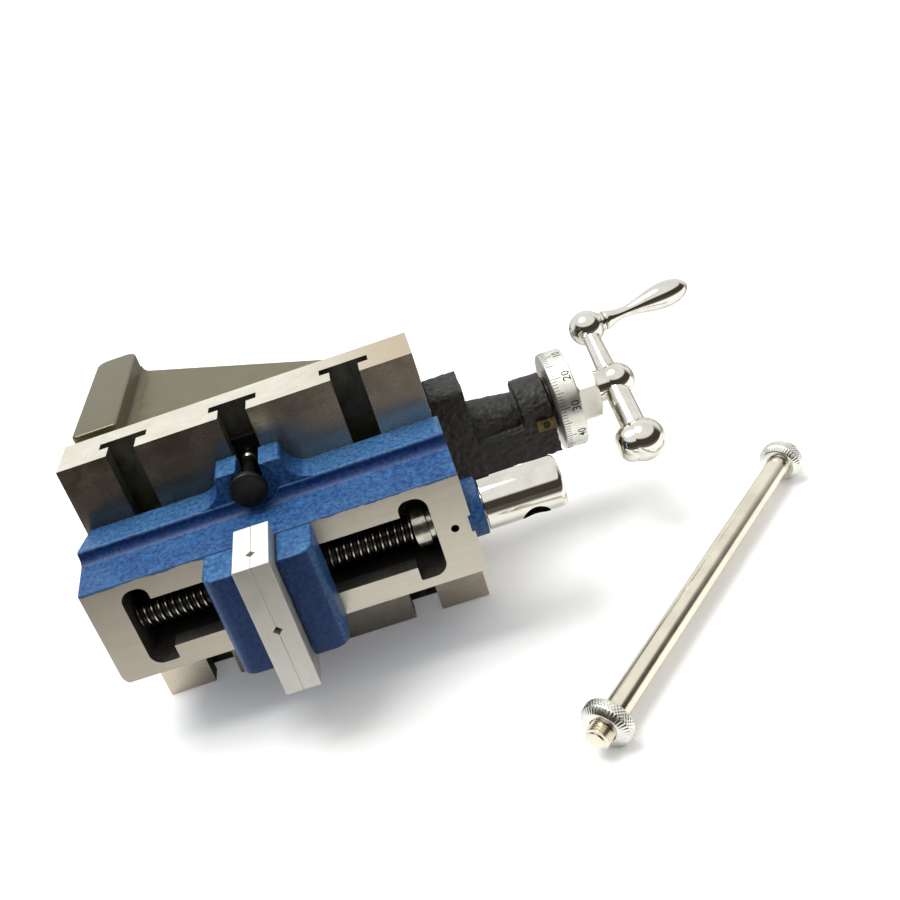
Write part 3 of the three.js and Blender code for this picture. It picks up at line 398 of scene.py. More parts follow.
    def eased(self, width: float, steps: int = 2, corner: float = 28.0) -> Form:
        """This form with its corners rounded off.

        Args:
            width: How far the rounding reaches from each edge.
            steps: Number of flats in the rounding.
            corner: Smallest angle between two faces that counts as an edge, in degrees.

        Returns:
            The eased form.
        """
        mesh = self._to_bmesh()
        bmesh.ops.remove_doubles(mesh, verts=mesh.verts, dist=WELD_DISTANCE)
        flat, least = math.radians(FLAT_ANGLE), math.radians(corner)
        bmesh.ops.dissolve_limit(mesh, angle_limit=flat, verts=mesh.verts, edges=mesh.edges)
        sharp = [e for e in mesh.edges if len(e.link_faces) == 2 and e.calc_face_angle(0) > least]
        bmesh.ops.bevel(mesh, geom=sharp, offset=width, offset_type="OFFSET", segments=steps, profile=0.5,
                        affect="EDGES", clamp_overlap=True)
        return Form._from_bmesh(mesh)

    def roughened(self, voxel: float, depth: float, size: float) -> Form:
        """This form remeshed and pitted inwards like a sand casting.

        Args:
            voxel: Size of the remeshed faces.
            depth: Deepest pit.
            size: Size of the pits.

        Returns:
            The roughened form.
        """
        base = self._object("rough_base")
        step = base.modifiers.new("remesh", "REMESH")
        step.mode = "VOXEL"
        step.voxel_size = voxel
        mesh = self._modified(base)
        mesh.normal_update()
        for vert in mesh.verts:
            value = noise.fractal(vert.co / size, 0.9, 2.0, 4)
            pit = min(max(0.5 + 0.6 * value, 0.0), 1.0)
            vert.co -= vert.normal * depth * pit
        return Form._from_bmesh(mesh)

    def piece(self, name: str, body: str, finishes: Finish | Sequence[Finish],
              chooser: Callable[[Vector, Vector], int] | None = None, corner: float = SHARP_ANGLE,
              stands_for: Sequence[str] = ()) -> bpy.types.Object:
        """Makes the form into a piece of the scene.

        Args:
            name: Name of the piece.
            body: CAD body that it rides on.
            finishes: One finish, or several for a chooser.
            chooser: Gives the number of the finish from a face's middle and its normal.
            corner: Angle above which an edge is drawn sharp, in degrees.
            stands_for: CAD nodes that the piece replaces.

        Returns:
            The finished object.
        """
        several = [finishes] if isinstance(finishes, Finish) else list(finishes)
        mesh = bpy.data.meshes.new(name)
        mesh.from_pydata([tuple(p) for p in self.points], [], self.faces)
        mesh.validate()
        for finish in several:
            mesh.materials.append(finish.material())
        if chooser is not None:
            for polygon in mesh.polygons:
                polygon.material_index = chooser(polygon.center, polygon.normal)
        home = Matrix.Translation((0, -ORIGIN_DEPTH * MILLIMETRE, ORIGIN_HEIGHT * MILLIMETRE))
        mesh.transform(home @ Matrix.Scale(MILLIMETRE, 4))
        mesh.shade_smooth()
        mesh.set_sharp_from_angle(angle=math.radians(corner))
        thing = placed(name, mesh)
        weigh = thing.modifiers.new("weigh", "WEIGHTED_NORMAL")
        weigh.keep_sharp = True
        weigh.weight = NORMAL_WEIGHT
        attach(thing, body)
        if stands_for:
            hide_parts(*stands_for)
        LOG.info("%s: %d faces on %s", name, len(mesh.polygons), body)
        return thing


def placed(name: str, data: bpy.types.ID) -> bpy.types.Object:
    """New object that shows some data, in the scene."""
    thing = bpy.data.objects.new(name, data)
    bpy.context.scene.collection.objects.link(thing)
    return thing


def linear(red: int, green: int, blue: int) -> Colour:
    """Linear colour of three screen values from 0 to 255."""
    parts = [c / 255 for c in (red, green, blue)]
    made = [c / 12.92 if c <= 0.04045 else ((c + 0.055) / 1.055) ** 2.4 for c in parts]
    return made[0], made[1], made[2], 1.0


class Graph:
    """Node tree of a material or the world, with short calls for the nodes that the looks share."""

    def __init__(self, owner: bpy.types.Material | bpy.types.World, place: str = "Object") -> None:
        """Starts a tree with its shader and one kind of coordinates."""
        owner.use_nodes = True
        self.material = owner
        self.nodes, self.links = owner.node_tree.nodes, owner.node_tree.links
        self.shader = self.nodes.get("Principled BSDF") or self.nodes["Background"]
        self.place = self.nodes.new("ShaderNodeTexCoord").outputs[place]

    def wire(self, source: Socket | float | Sequence[float], target: Socket) -> None:
        """Links a socket to another, or sets a plain value on it."""
        if isinstance(source, Socket):
            self.links.new(source, target)
        else:
            target.default_value = source

    def dress(self, **sockets: Socket | float | Sequence[float]) -> None:
        """Wires or sets inputs of the shader, named with underscores for spaces."""
        for name, source in sockets.items():
            self.wire(source, self.shader.inputs[name.replace("_", " ")])

    def scaled(self, sizes: Triple) -> Socket:
        """Object coordinates counted in sizes given in millimetres."""
        node = self.nodes.new("ShaderNodeMapping")
        self.links.new(self.place, node.inputs["Vector"])
        node.inputs["Scale"].default_value = [1 / (s * MILLIMETRE) for s in sizes]
        return node.outputs["Vector"]

    def noise(self, sizes: Triple, detail: float, rough: float, warp: float = 0.0) -> Socket:
        """Makes noise in the object's own space.

        Args:
            sizes: Sizes of its cells along X, Y and Z, in millimetres.
            detail: Number of finer layers.
            rough: Weight of the finer layers.
            warp: How far the cells are bent.

        Returns:
            The noise, from 0 to 1.
        """
        node = self.nodes.new("ShaderNodeTexNoise")
        self.links.new(self.scaled(sizes), node.inputs["Vector"])
        node.inputs["Scale"].default_value = 1.0
        node.inputs["Detail"].default_value = detail
        node.inputs["Roughness"].default_value = rough
        node.inputs["Distortion"].default_value = warp
        return node.outputs["Fac"]

    def cells(self, size: float) -> Socket:
        """Distance to the nearest cell middle, for cells of a size in millimetres."""
        node = self.nodes.new("ShaderNodeTexVoronoi")
        self.links.new(self.scaled((size, size, size)), node.inputs["Vector"])
        node.inputs["Scale"].default_value = 1.0
        return node.outputs["Distance"]

    def step(self, value: Socket, low: float, high: float, to_low: float = 0.0,
             to_high: float = 1.0) -> Socket:
        """Maps a value smoothly from one range to another.

        Args:
            value: Value to map.
            low: Value that gives to_low.
            high: Value that gives to_high.
            to_low: Result at the low end.
            to_high: Result at the high end.

        Returns:
            The mapped value.
        """
        node = self.nodes.new("ShaderNodeMapRange")
        node.interpolation_type = "SMOOTHSTEP"
        self.links.new(value, node.inputs["Value"])
        for key, number in (("From Min", low), ("From Max", high), ("To Min", to_low), ("To Max", to_high)):
            node.inputs[key].default_value = number
        return node.outputs["Result"]

    def mix(self, factor: Socket | float, first: Socket | Sequence[float], second: Socket | Sequence[float],
            mode: str = "MIX") -> Socket:
        """Blends two colours.

        Args:
            factor: Share of the second colour.
            first: First colour.
            second: Second colour.
            mode: How the second colour is laid on the first.

        Returns:
            The blended colour.
        """
        node = self.nodes.new("ShaderNodeMix")
        node.data_type = "RGBA"
        node.blend_type = mode
        self.wire(factor, node.inputs[0])
        self.wire(first, node.inputs[6])
        self.wire(second, node.inputs[7])
        return node.outputs[2]

    def sum(self, operation: str, first: Socket | float, second: Socket | float) -> Socket:
        """Result of a sum on two numbers."""
        node = self.nodes.new("ShaderNodeMath")
        node.operation = operation
        self.wire(first, node.inputs[0])
        self.wire(second, node.inputs[1])
        return node.outputs[0]

    def along(self, axis: Axis) -> Socket:
        """Coordinate along an axis."""
        node = self.nodes.new("ShaderNodeSeparateXYZ")
        self.links.new(self.place, node.inputs[0])
        return node.outputs[axis.value]

    def bump(self, height: Socket, depth: float, under: Socket | None = None) -> Socket:
        """Lays a relief on the surface.

        Args:
            height: Pattern of the relief.
            depth: Depth of the relief, in millimetres.
            under: Normal of a relief that this one lies on.

        Returns:
            The normal of the relief.
        """
        node = self.nodes.new("ShaderNodeBump")
        node.inputs["Distance"].default_value = depth * MILLIMETRE
        self.links.new(height, node.inputs["Height"])
        if under is not None:
            self.links.new(under, node.inputs["Normal"])
        return node.outputs["Normal"]


@dataclass(frozen=True)
class Finish:
    """Finish of a surface: its name, the record's slot and its two tones.

    Attributes:
        name: Name of the material.
        slot: Material slot of the record.
        light: Lighter tone, as screen values.
        dark: Darker tone, as screen values.
        roughness: Lowest and highest roughness.
    """

    name: str
    slot: str
    light: Tone
    dark: Tone
    roughness: Pair

    def material(self) -> bpy.types.Material:
        """The Blender material, made once."""
        found = bpy.data.materials.get(self.name)
        return found if found is not None else self.build(Graph(bpy.data.materials.new(self.name)))

    def tones(self, graph: Graph, pattern: Socket, low: float, high: float) -> Socket:
        """Blends from the dark to the light tone.

        Args:
            graph: Graph of the material.
            pattern: Pattern that chooses the tone.
            low: Value that gives the dark tone.
            high: Value that gives the light tone.

        Returns:
            The tone.
        """
        return graph.mix(graph.step(pattern, low, high), linear(*self.dark), linear(*self.light))

    def build(self, graph: Graph) -> bpy.types.Material:
        """Wires the nodes of the material.

        Args:
            graph: Graph to wire them in.

        Returns:
            The finished material.
        """
        raise NotImplementedError


@dataclass(frozen=True)
class Paint(Finish):
    """Mottled glossy paint on a casting."""

    mottle: float = 1.5
    relief: float = 0.10
    fleck: float = 0.45
    cloud: float = 11.0
    peel: float = 0.7
    shine: float = 0.28
    coat: Pair = (0.04, 0.2)

    def build(self, graph: Graph) -> bpy.types.Material:
        """Paint with fine and broad mottling, orange peel and a thin gloss."""
        soft = graph.noise((self.mottle,) * 3, 4, 0.7, warp=0.3)
        fine = graph.noise((self.fleck,) * 3, 2, 0.6)
        wide = graph.noise((self.cloud,) * 3, 2, 0.5)
        tone = self.tones(graph, soft, 0.34, 0.66)
        tone = graph.mix(graph.step(fine, 0.5, 0.75, 0.0, 0.35), tone, linear(*self.light))
        tone = graph.mix(graph.step(wide, 0.35, 0.7, 0.0, 0.3), tone, linear(*self.dark))
        peel = graph.noise((self.peel,) * 3, 3, 0.6)
        relief = graph.bump(peel, self.relief * 0.35, graph.bump(soft, self.relief))
        graph.dress(Base_Color=tone, Roughness=graph.step(soft, 0.25, 0.75, *self.roughness), Normal=relief,
                    Specular_IOR_Level=self.shine, Coat_Weight=self.coat[0], Coat_Roughness=self.coat[1])
        return graph.material


@dataclass(frozen=True)
class Ground(Finish):
    """Ground or milled iron, with lines along one direction."""

    lines: Triple = (22, 0.25, 0.25)
    relief: float = 0.012
    metallic: float = 0.9
    stain_size: float = 9.0
    grain_size: float = 0.5
    line_share: float = 0.16

    def build(self, graph: Graph) -> bpy.types.Material:
        """Bare iron with grinding lines, faint oil stains and small scratches."""
        lines = graph.noise(self.lines, 4, 0.6)
        stains = graph.noise((self.stain_size,) * 3, 4, 0.6, warp=0.6)
        grain = graph.noise((self.grain_size,) * 3, 2, 0.5)
        tone = self.tones(graph, stains, 0.25, 0.75)
        tone = graph.mix(graph.step(lines, 0.3, 0.7, 0.0, self.line_share), tone, linear(*self.dark),
                         "MULTIPLY")
        rough = graph.step(stains, 0.3, 0.7, *self.roughness)
        rough = graph.sum("ADD", rough, graph.step(lines, 0.2, 0.8, -0.04, 0.04))
        relief = graph.bump(grain, self.relief * 0.6, graph.bump(lines, self.relief))
        graph.dress(Base_Color=tone, Roughness=rough, Metallic=self.metallic, Normal=relief)
        return graph.material


@dataclass(frozen=True)
class Casting(Finish):
    """Rough sand casting."""

    grain: float = 0.9
    relief: float = 0.22
    metallic: float = 0.15

    def build(self, graph: Graph) -> bpy.types.Material:
        """Casting skin with lumps and pits, and a lighter tone on the lumps' high spots that is a painted
        glint.
        """
        lumps = graph.noise((self.grain * 3,) * 3, 5, 0.65)
        pits = graph.cells(self.grain)
        relief = graph.bump(pits, self.relief * 0.4, graph.bump(lumps, self.relief))
        # The light tone on the lumps' high spots is a painted glint.
        graph.dress(Base_Color=self.tones(graph, lumps, 0.35, 0.7), Metallic=self.metallic, Normal=relief,
                    Roughness=graph.step(lumps, 0.3, 0.7, *self.roughness))
        return graph.material


@dataclass(frozen=True)
class Plated(Finish):
    """Polished plating, such as chrome or nickel."""

    haze: float = 6.0
    hairs: Triple = (0.35, 6.0, 6.0)
    hair_depth: float = 0.0015

    def build(self, graph: Graph) -> bpy.types.Material:
        """Mirror finish with faint haze and hairline polishing marks."""
        haze = graph.noise((self.haze,) * 3, 3, 0.6)
        hair = graph.bump(graph.noise(self.hairs, 3, 0.6), self.hair_depth)
        graph.dress(Base_Color=self.tones(graph, haze, 0.3, 0.7), Metallic=1.0,
                    Roughness=graph.step(haze, 0.3, 0.75, *self.roughness), Normal=hair)
        return graph.material


@dataclass(frozen=True)
class Turned(Finish):
    """Turned or blacked steel, bronze and brass."""

    rings: Triple = (0.18, 6, 6)
    relief: float = 0.006
    metallic: float = 1.0
    stain_size: float = 3.0

    def build(self, graph: Graph) -> bpy.types.Material:
        """Metal with fine tool rings along X and soft stains."""
        rings = graph.noise(self.rings, 2, 0.5)
        stains = graph.noise((self.stain_size,) * 3, 4, 0.6)
        graph.dress(Base_Color=self.tones(graph, stains, 0.3, 0.7), Metallic=self.metallic,
                    Roughness=graph.step(stains, 0.3, 0.7, *self.roughness),
                    Normal=graph.bump(rings, self.relief))
        return graph.material


@dataclass(frozen=True)
class FadedGround(Ground):
    """Ground iron with a painted reflection that grows paler toward the right end and toward the lower edge.
    """

    worn: Tone = (226, 214, 194)
    along: Pair = (-0.02, 0.06)
    down: Pair = (0.018, 0.036)
    worn_shares: Pair = (0.62, 0.85)

    def build(self, graph: Graph) -> bpy.types.Material:
        """Iron with a painted reflection that turns paler along X and below the vice."""
        super().build(graph)
        # Painted reflection: paler toward the right end and toward the lower edge.
        right = graph.step(graph.along(Axis.X), *self.along, 0.0, self.worn_shares[0])
        lower = graph.step(graph.along(Axis.Z), *self.down, self.worn_shares[1], 0.0)
        bare = graph.shader.inputs["Base Color"].links[0].from_socket
        graph.dress(Base_Color=graph.mix(graph.sum("MAXIMUM", right, lower), bare, linear(*self.worn)))
        return graph.material


@dataclass(frozen=True)
class GroundOverPaint(Ground):
    """Ground face of a painted casting, where the paint creeps over its upper edge."""

    paint: Tone = (62, 113, 164)
    edge: float = 18.7
    creep: float = 0.9
    creep_size: float = 7.0
    blur: float = 0.1
    stain: Tone = (132, 122, 108)
    stained: Pair = (-0.06, 0.03)
    stain_share: float = 0.5

    def build(self, graph: Graph) -> bpy.types.Material:
        """Ground iron with a wavy border of paint along the upper edge, and darker toward the left end."""
        super().build(graph)
        waves = graph.noise((self.creep_size,) * 3, 3, 0.6)
        creep = graph.step(waves, 0.25, 0.75, 0.0, self.creep * MILLIMETRE)
        edges = [(ORIGIN_HEIGHT + self.edge + side * self.blur) * MILLIMETRE for side in (-1, 1)]
        mask = graph.step(graph.sum("ADD", graph.along(Axis.Z), creep), *edges)
        # Darker toward the left end of the face.
        stain = graph.step(graph.along(Axis.X), *self.stained, self.stain_share, 0.0)
        bare = graph.mix(stain, graph.shader.inputs["Base Color"].links[0].from_socket, linear(*self.stain))
        graph.dress(Base_Color=graph.mix(mask, bare, linear(*self.paint)),
                    Metallic=graph.step(mask, 0, 1, self.metallic, 0.0))
        return graph.material


BLUE = Paint("mottled_blue", "blue_paint", (62, 113, 164), (20, 58, 118), (0.36, 0.5), 1.4, 0.05)
# Lit and shaded copies of the blue paint: painted light for faces that face up, painted shade for faces in
# the hollow and in front.
LIT_BLUE = Paint("pale_blue", "blue_paint", (80, 130, 176), (36, 77, 132), (0.36, 0.5), 1.4, 0.05)
SHADED_BLUE = Paint("deep_blue", "blue_paint", (38, 76, 130), (14, 40, 98), (0.4, 0.55), 1.4, 0.05)
# Painted shade: the dark paint in the cavity and bores stands in for the shade there.
SHADED_INSIDE = Paint("dark_inside", "blue_paint", (88, 84, 80), (60, 57, 54), (0.45, 0.7), relief=0.05)
VISE_GROUND = GroundOverPaint("vise_ground", "ground_iron", (214, 208, 194), (202, 196, 182), (0.32, 0.42),
                              paint=BLUE.light)
# Lit and shaded copies of the table's one ground iron: painted light on the sides, painted shade on the
# slotted face.
LIT_TABLE_SIDE = FadedGround("table_side_iron", "ground_iron", (244, 241, 228), (230, 226, 212), (0.24, 0.3),
                         relief=0.004, worn=(198, 178, 148), along=(0.015, 0.062), worn_shares=(0.85, 0.0))
SHADED_TABLE_FRONT = FadedGround("table_front_iron", "ground_iron", (132, 122, 109), (112, 103, 92), (0.2, 0.28),
                          relief=0.004)
# Painted light: the jaw plates' top faces get this paler copy of the plate's ground iron.
LIT_PLATE_TOP = Ground("plate_top", "ground_iron", (255, 255, 252), (250, 250, 246), (0.3, 0.38),
                   lines=(0.25, 0.25, 18), relief=0.004, metallic=0.1)
PLATE_GROUND = Ground("plate_ground", "ground_iron", (226, 224, 216), (214, 212, 204), (0.3, 0.38),
                      lines=(0.25, 0.25, 18), relief=0.004, metallic=0.45)
# Painted shade for the walls inside the T-slots.
SHADED_SLOT_IRON = Ground("slot_iron", "ground_iron", (120, 116, 98), (74, 70, 58), (0.36, 0.48),
                   lines=(0.3, 0.3, 20), metallic=0.6)
FOOT_IRON = Ground("foot_iron", "grey_casting", (128, 123, 100), (112, 107, 84), (0.3, 0.4),
                   lines=(0.4, 0.4, 24), relief=0.004)
BASE_IRON = Casting("base_iron", "grey_casting", (112, 107, 82), (98, 93, 68), (0.45, 0.6),
                    grain=1.2, relief=0.03, metallic=0.1)
BLACK_IRON = Casting("black_iron", "black_casting", (58, 56, 53), (18, 17, 16), (0.36, 0.7),
                     grain=0.8, relief=0.13)
BLACK_STEEL = Turned("oxide_black", "black_steel", (40, 37, 33), (24, 22, 19), (0.26, 0.42), metallic=0.6)
THREAD_STEEL = Turned("thread_steel", "black_steel", (70, 67, 60), (36, 34, 30), (0.3, 0.4), metallic=0.8)
BRIGHT_STEEL = Turned("turned_bright", "bright_steel", (206, 204, 192), (172, 168, 156), (0.16, 0.26))
SATIN_STEEL = Turned("turned_satin", "satin_steel", (246, 245, 238), (234, 232, 222), (0.3, 0.4))
CHROME = Plated("chrome_plate", "chrome", (234, 232, 224), (220, 217, 208), (0.03, 0.07))
NICKEL = Plated("nickel_plate", "nickel", (242, 236, 219), (226, 218, 199), (0.15, 0.22), haze=20)
PALE_NICKEL = Plated("pale_nickel", "nickel", (242, 241, 235), (222, 220, 212), (0.16, 0.26), haze=3)
BRASS = Turned("dull_brass", "brass", (112, 99, 64), (70, 61, 40), (0.35, 0.5))
BRONZE = Turned("turned_bronze", "bronze", (182, 146, 88), (134, 102, 58), (0.28, 0.42))
ENGRAVING = Casting("engraving", "black_steel", (34, 32, 30), (18, 17, 16), (0.6, 0.8),
                    grain=0.3, relief=0.01)


def both_sides(half: Sequence[Pair]) -> list[Pair]:
    """Closed outline of a half outline and its mirror image, with the second coordinate reversed."""
    return [*half, *((a, -b) for a, b in reversed(half))]


def rim(ends: Pair, radius: float, steps: Sequence[Pair]) -> list[Pair]:
    """Outline of a round rim that is eased alike at both ends.

    Args:
        ends: Lowest and highest place.
        radius: Full radius.
        steps: Runs from an end, each with its drop below the full radius, from the end inwards.

    Returns:
        Places and radii from the lowest to the highest place.
    """
    rising = [(ends[0] + run, radius - drop) for run, drop in steps]
    return rising + [(ends[1] - run, radius - drop) for run, drop in reversed(steps)]


def dress(node: str, finish: Finish) -> None:
    """Gives a CAD node that stays in view its finish and smooth shading.

    Args:
        node: Name of the CAD node.
        finish: Finish to give it.
    """
    thing = bpy.data.objects[node]
    thing.data.materials.clear()
    thing.data.materials.append(finish.material())
    thing.data.shade_smooth()
    thing.data.set_sharp_from_angle(angle=math.radians(SHARP_ANGLE))
    LOG.info("%s: dressed in %s", node, finish.name)


def eased_node(node: str, body: str, finish: Finish, width: float, steps: int = 2) -> bpy.types.Object:
    """Stands an eased copy of a CAD node in its place.

    Args:
        node: Name of the CAD node.
        body: Body that it belongs to.
        finish: Finish of the copy.
        width: Width of the easing.
        steps: Number of flats in the easing.

    Returns:
        The copy.
    """
    return Form.of_node(node).eased(width, steps).piece(f"{node}_eased", body, finish, stands_for=[node])


@dataclass
class AngleBase:
    """Angle base that stands still: foot, column, dovetail, gussets, bracket and small fittings."""

    body: str = "base"
    foot_x: Pair = (-61.5, -44.5)
    foot_y: Pair = (26.3, 99.5)
    foot_half: float = 50.0
    foot_corners: tuple[float, ...] = (2.0, 0.8, 5.0, 4.5)
    foot_bead: float = 1.5
    foot_fillet: float = 2.5
    column_end: float = 62.5
    column_y: Pair = (26.3, 42.0)
    column_half: float = 41.5
    dovetail_y: float = 20.3
    dovetail_half: float = 30.0
    rib_half: float = 20.0
    rib_height: float = 8.0
    gusset: float = 11.5
    gusset_run: float = 76.5
    gusset_rise: float = 55.0
    channel_half: float = 9.5
    channel_end: float = -54.0
    channel_depth: float = 43.5
    slot_width: float = 9.0
    slot_y: Pair = (55.0, 90.0)
    slot_spacing: float = 36.0
    lead_depth: float = 34.0
    screw_spacing: float = 34.0
    screw_depth: float = 4.8
    plate_x: Pair = (62.8, 75.7)
    plate_y: Pair = (20.6, 41.0)
    plate_half: float = 23.0
    boss_x: Pair = (93.3, 104.5)
    boss_radius: float = 12.5
    neck_radii: Pair = (10.8, 8.6)
    shelf_y: Pair = (21.5, 46.5)
    shelf_z: Pair = (-14.4, -1.0)
    flank_angle: float = 60.0
    tail_root: float = 4.0
    tapped_x: float = 52.2
    tapped_radius: float = 2.8
    plate_corner: float = 4.0
    bearing_bore: float = 4.3
    clear_radius: float = 2.3
    sink_radius: float = 3.8
    cap_x: float = 52.5
    cap_radii: Pair = (2.0, 3.5)
    cap_height: float = 4.0
    cap_key: float = 1.8
    cap_chamfers: Pair = (0.2, 0.3)
    washer_x: Pair = (104.8, 105.7)
    washer_radius: float = 10.0
    washer_rim: tuple[Pair, ...] = ((0.0, 0.1), (0.1, 0.0))
    slot_slack: float = 0.01
    easing: float = 0.7
    bracket_easing: float = 1.6
    index_easing: float = 0.12
    skin: Triple = (0.42, 0.5, 2.0)
    skin_angle: float = 75.0

    def build(self) -> None:
        """Makes every piece of the base."""
        self.casting()
        self.bracket()
        self.fittings()

    def casting(self) -> bpy.types.Object:
        """The one casting with foot, column, dovetail, rib and gussets."""
        sole, wall = self.foot_x
        front, back = self.column_y
        half, end = self.column_half, self.column_end
        root = wall - OVERRUN
        outline = rounded_box((sole, self.foot_y[0]), (wall, self.foot_y[1]), self.foot_corners)
        foot = Form.prism(Axis.Z, outline, (-self.foot_half, self.foot_half)).eased(self.foot_bead, 5, 60)
        column = Form.block((root, front, -half), (end, back, half))
        narrow = self.dovetail_half - (front - self.dovetail_y) / math.tan(math.radians(self.flank_angle))
        flank = [(self.dovetail_y, -self.dovetail_half), (front, -narrow), (front + self.tail_root, -narrow)]
        tail = Form.prism(Axis.X, both_sides(flank), (sole, end))
        rib = Form.block((root, back - OVERRUN, -self.rib_half), (end, back + self.rib_height, self.rib_half))
        far, top = wall + self.gusset_run, back + self.gusset_rise
        slope = [(root, back - OVERRUN), (far, back - OVERRUN), (far, back), (wall, top), (root, top)]
        inner = half - self.gusset
        walls = [Form.prism(Axis.Z, slope, ends) for ends in ((inner, half), (-half, -inner))]
        walls += [self._root_fillet(slope, side) for side in (-1, 1)]
        cuts = [Form.block((self.channel_end, self.dovetail_y - OVERRUN, -self.channel_half),
                           (end + OVERRUN, self.channel_depth, self.channel_half))]
        slot = self.slot_width / 2
        for side in (-1, 1):
            low, high = (side * self.slot_spacing / 2 + turn * slot for turn in (-1, 1))
            radii = [slot - self.slot_slack] * 4
            outline = rounded_box((self.slot_y[0], low), (self.slot_y[1], high), radii, 12)
            cuts.append(Form.prism(Axis.X, outline, (sole - OVERRUN, wall + OVERRUN)))
            depth = (self.tapped_x, end + OVERRUN)
            cuts.append(Form.bar(Axis.X, self.tapped_radius, depth, self._screw_place(side)))
        form = foot.joined(column, tail, rib, *walls).less(*cuts).eased(self.easing, 3)

        def choose(middle: Vector, normal: Vector) -> int:
            """Milled foot and dovetail, cast skin elsewhere."""
            return 0 if middle.x < wall + NEAR or middle.y < front + NEAR else 1

        return form.piece("angle_base_casting", self.body, [FOOT_IRON, BASE_IRON], choose,
                          stands_for=["angle_base"])

    def _screw_place(self, side: int) -> Triple:
        """A point on the axis of the bracket's upper or lower screw."""
        return 0, self.lead_depth, side * self.screw_spacing / 2

    def _root_fillet(self, slope: Sequence[Pair], side: int) -> Form:
        """Makes the concave fillet between the foot and the outer face of one gusset.

        Args:
            slope: Outline of the gusset.
            side: 1 for the upper gusset, -1 for the lower one.

        Returns:
            The fillet, as long as the gusset is deep.
        """
        wall, edge, radius = self.foot_x[1], self.column_half, self.foot_fillet
        hollow = arc((wall + radius, edge + radius), radius, 180, 270, 8)
        outline = [(wall - OVERRUN, edge - OVERRUN), (wall - OVERRUN, edge + radius), *hollow,
                   (wall + radius, edge - OVERRUN)]
        strip = Form.prism(Axis.Y, [(x, side * z) for x, z in outline], (self.column_y[0], self.foot_y[1]))
        front = [(wall - OVERRUN, self.column_y[0]), (wall + self.gusset_run, self.column_y[0]), *slope[2:]]
        ends = sorted((side * (edge - OVERRUN), side * (edge + radius)))
        return strip.within(Form.prism(Axis.Z, front, (ends[0] - OVERRUN, ends[1] + OVERRUN)))

    def bracket(self) -> bpy.types.Object:
        """Rough casting that carries the lead screw's bearing."""
        centre = (0.0, self.lead_depth, 0.0)
        low, high = self.plate_x
        reach = self.boss_x[1]
        outline = rounded_box((self.plate_y[0], -self.plate_half), (self.plate_y[1], self.plate_half),
                              [self.plate_corner] * 4)
        plate = Form.prism(Axis.X, outline, self.plate_x)
        cone = [(high - OVERRUN, self.neck_radii[0]), (self.boss_x[0], self.neck_radii[1])]
        neck = Form.lathe(Axis.X, cone, BOLD, centre)
        boss = Form.bar(Axis.X, self.boss_radius, self.boss_x, centre, BOLD)
        shelf = Form.block((high - OVERRUN, self.shelf_y[0], self.shelf_z[0]),
                           (reach, self.shelf_y[1], self.shelf_z[1]))
        bores = [Form.bar(Axis.X, self.bearing_bore, (low - OVERRUN, reach + OVERRUN), centre)]
        for side in (-1, 1):
            place = self._screw_place(side)
            bores.append(Form.bar(Axis.X, self.clear_radius, (low - OVERRUN, high + OVERRUN), place))
            bores.append(Form.bar(Axis.X, self.sink_radius, (high - self.screw_depth, high + OVERRUN), place))
        form = plate.joined(neck, boss, shelf).eased(self.bracket_easing, 4).less(*bores)
        form = form.roughened(*self.skin)
        return form.piece("bracket_casting", self.body, BLACK_IRON, corner=self.skin_angle,
                          stands_for=["leadscrew_bracket"])

    def fittings(self) -> None:
        """Cap screws, pointer plate and thrust washer."""
        seat = self.plate_x[1] - self.screw_depth + GAP
        top = seat + self.cap_height
        shank, cap = self.cap_radii
        low, high = self.cap_chamfers
        outline = [(self.cap_x, shank), (seat, shank), (seat, cap - low), (seat + low, cap),
                   (top - high, cap), (top, cap - high)]
        for label, side in (("upper", 1), ("lower", -1)):
            place = self._screw_place(side)
            socket = Form.hexagon(Axis.X, self.cap_key, (top - 2, top + OVERRUN), place)
            head = Form.lathe(Axis.X, outline, BOLD, place).less(socket)
            head.piece(f"bracket_cap_{label}", self.body, BLACK_STEEL, stands_for=[f"bracket_screw_{label}"])
        eased_node("index_plate", self.body, BRASS, self.index_easing)
        dress("index_screw", BLACK_STEEL)
        low, high = self.washer_x
        outline = [(low, self.bearing_bore), *rim(self.washer_x, self.washer_radius, self.washer_rim),
                   (high, self.bearing_bore)]
        washer = Form.lathe(Axis.X, outline, FINE, (0, self.lead_depth, 0), True)
        washer.piece("thrust_ring", self.body, BLACK_STEEL, stands_for=["thrust_washer"])


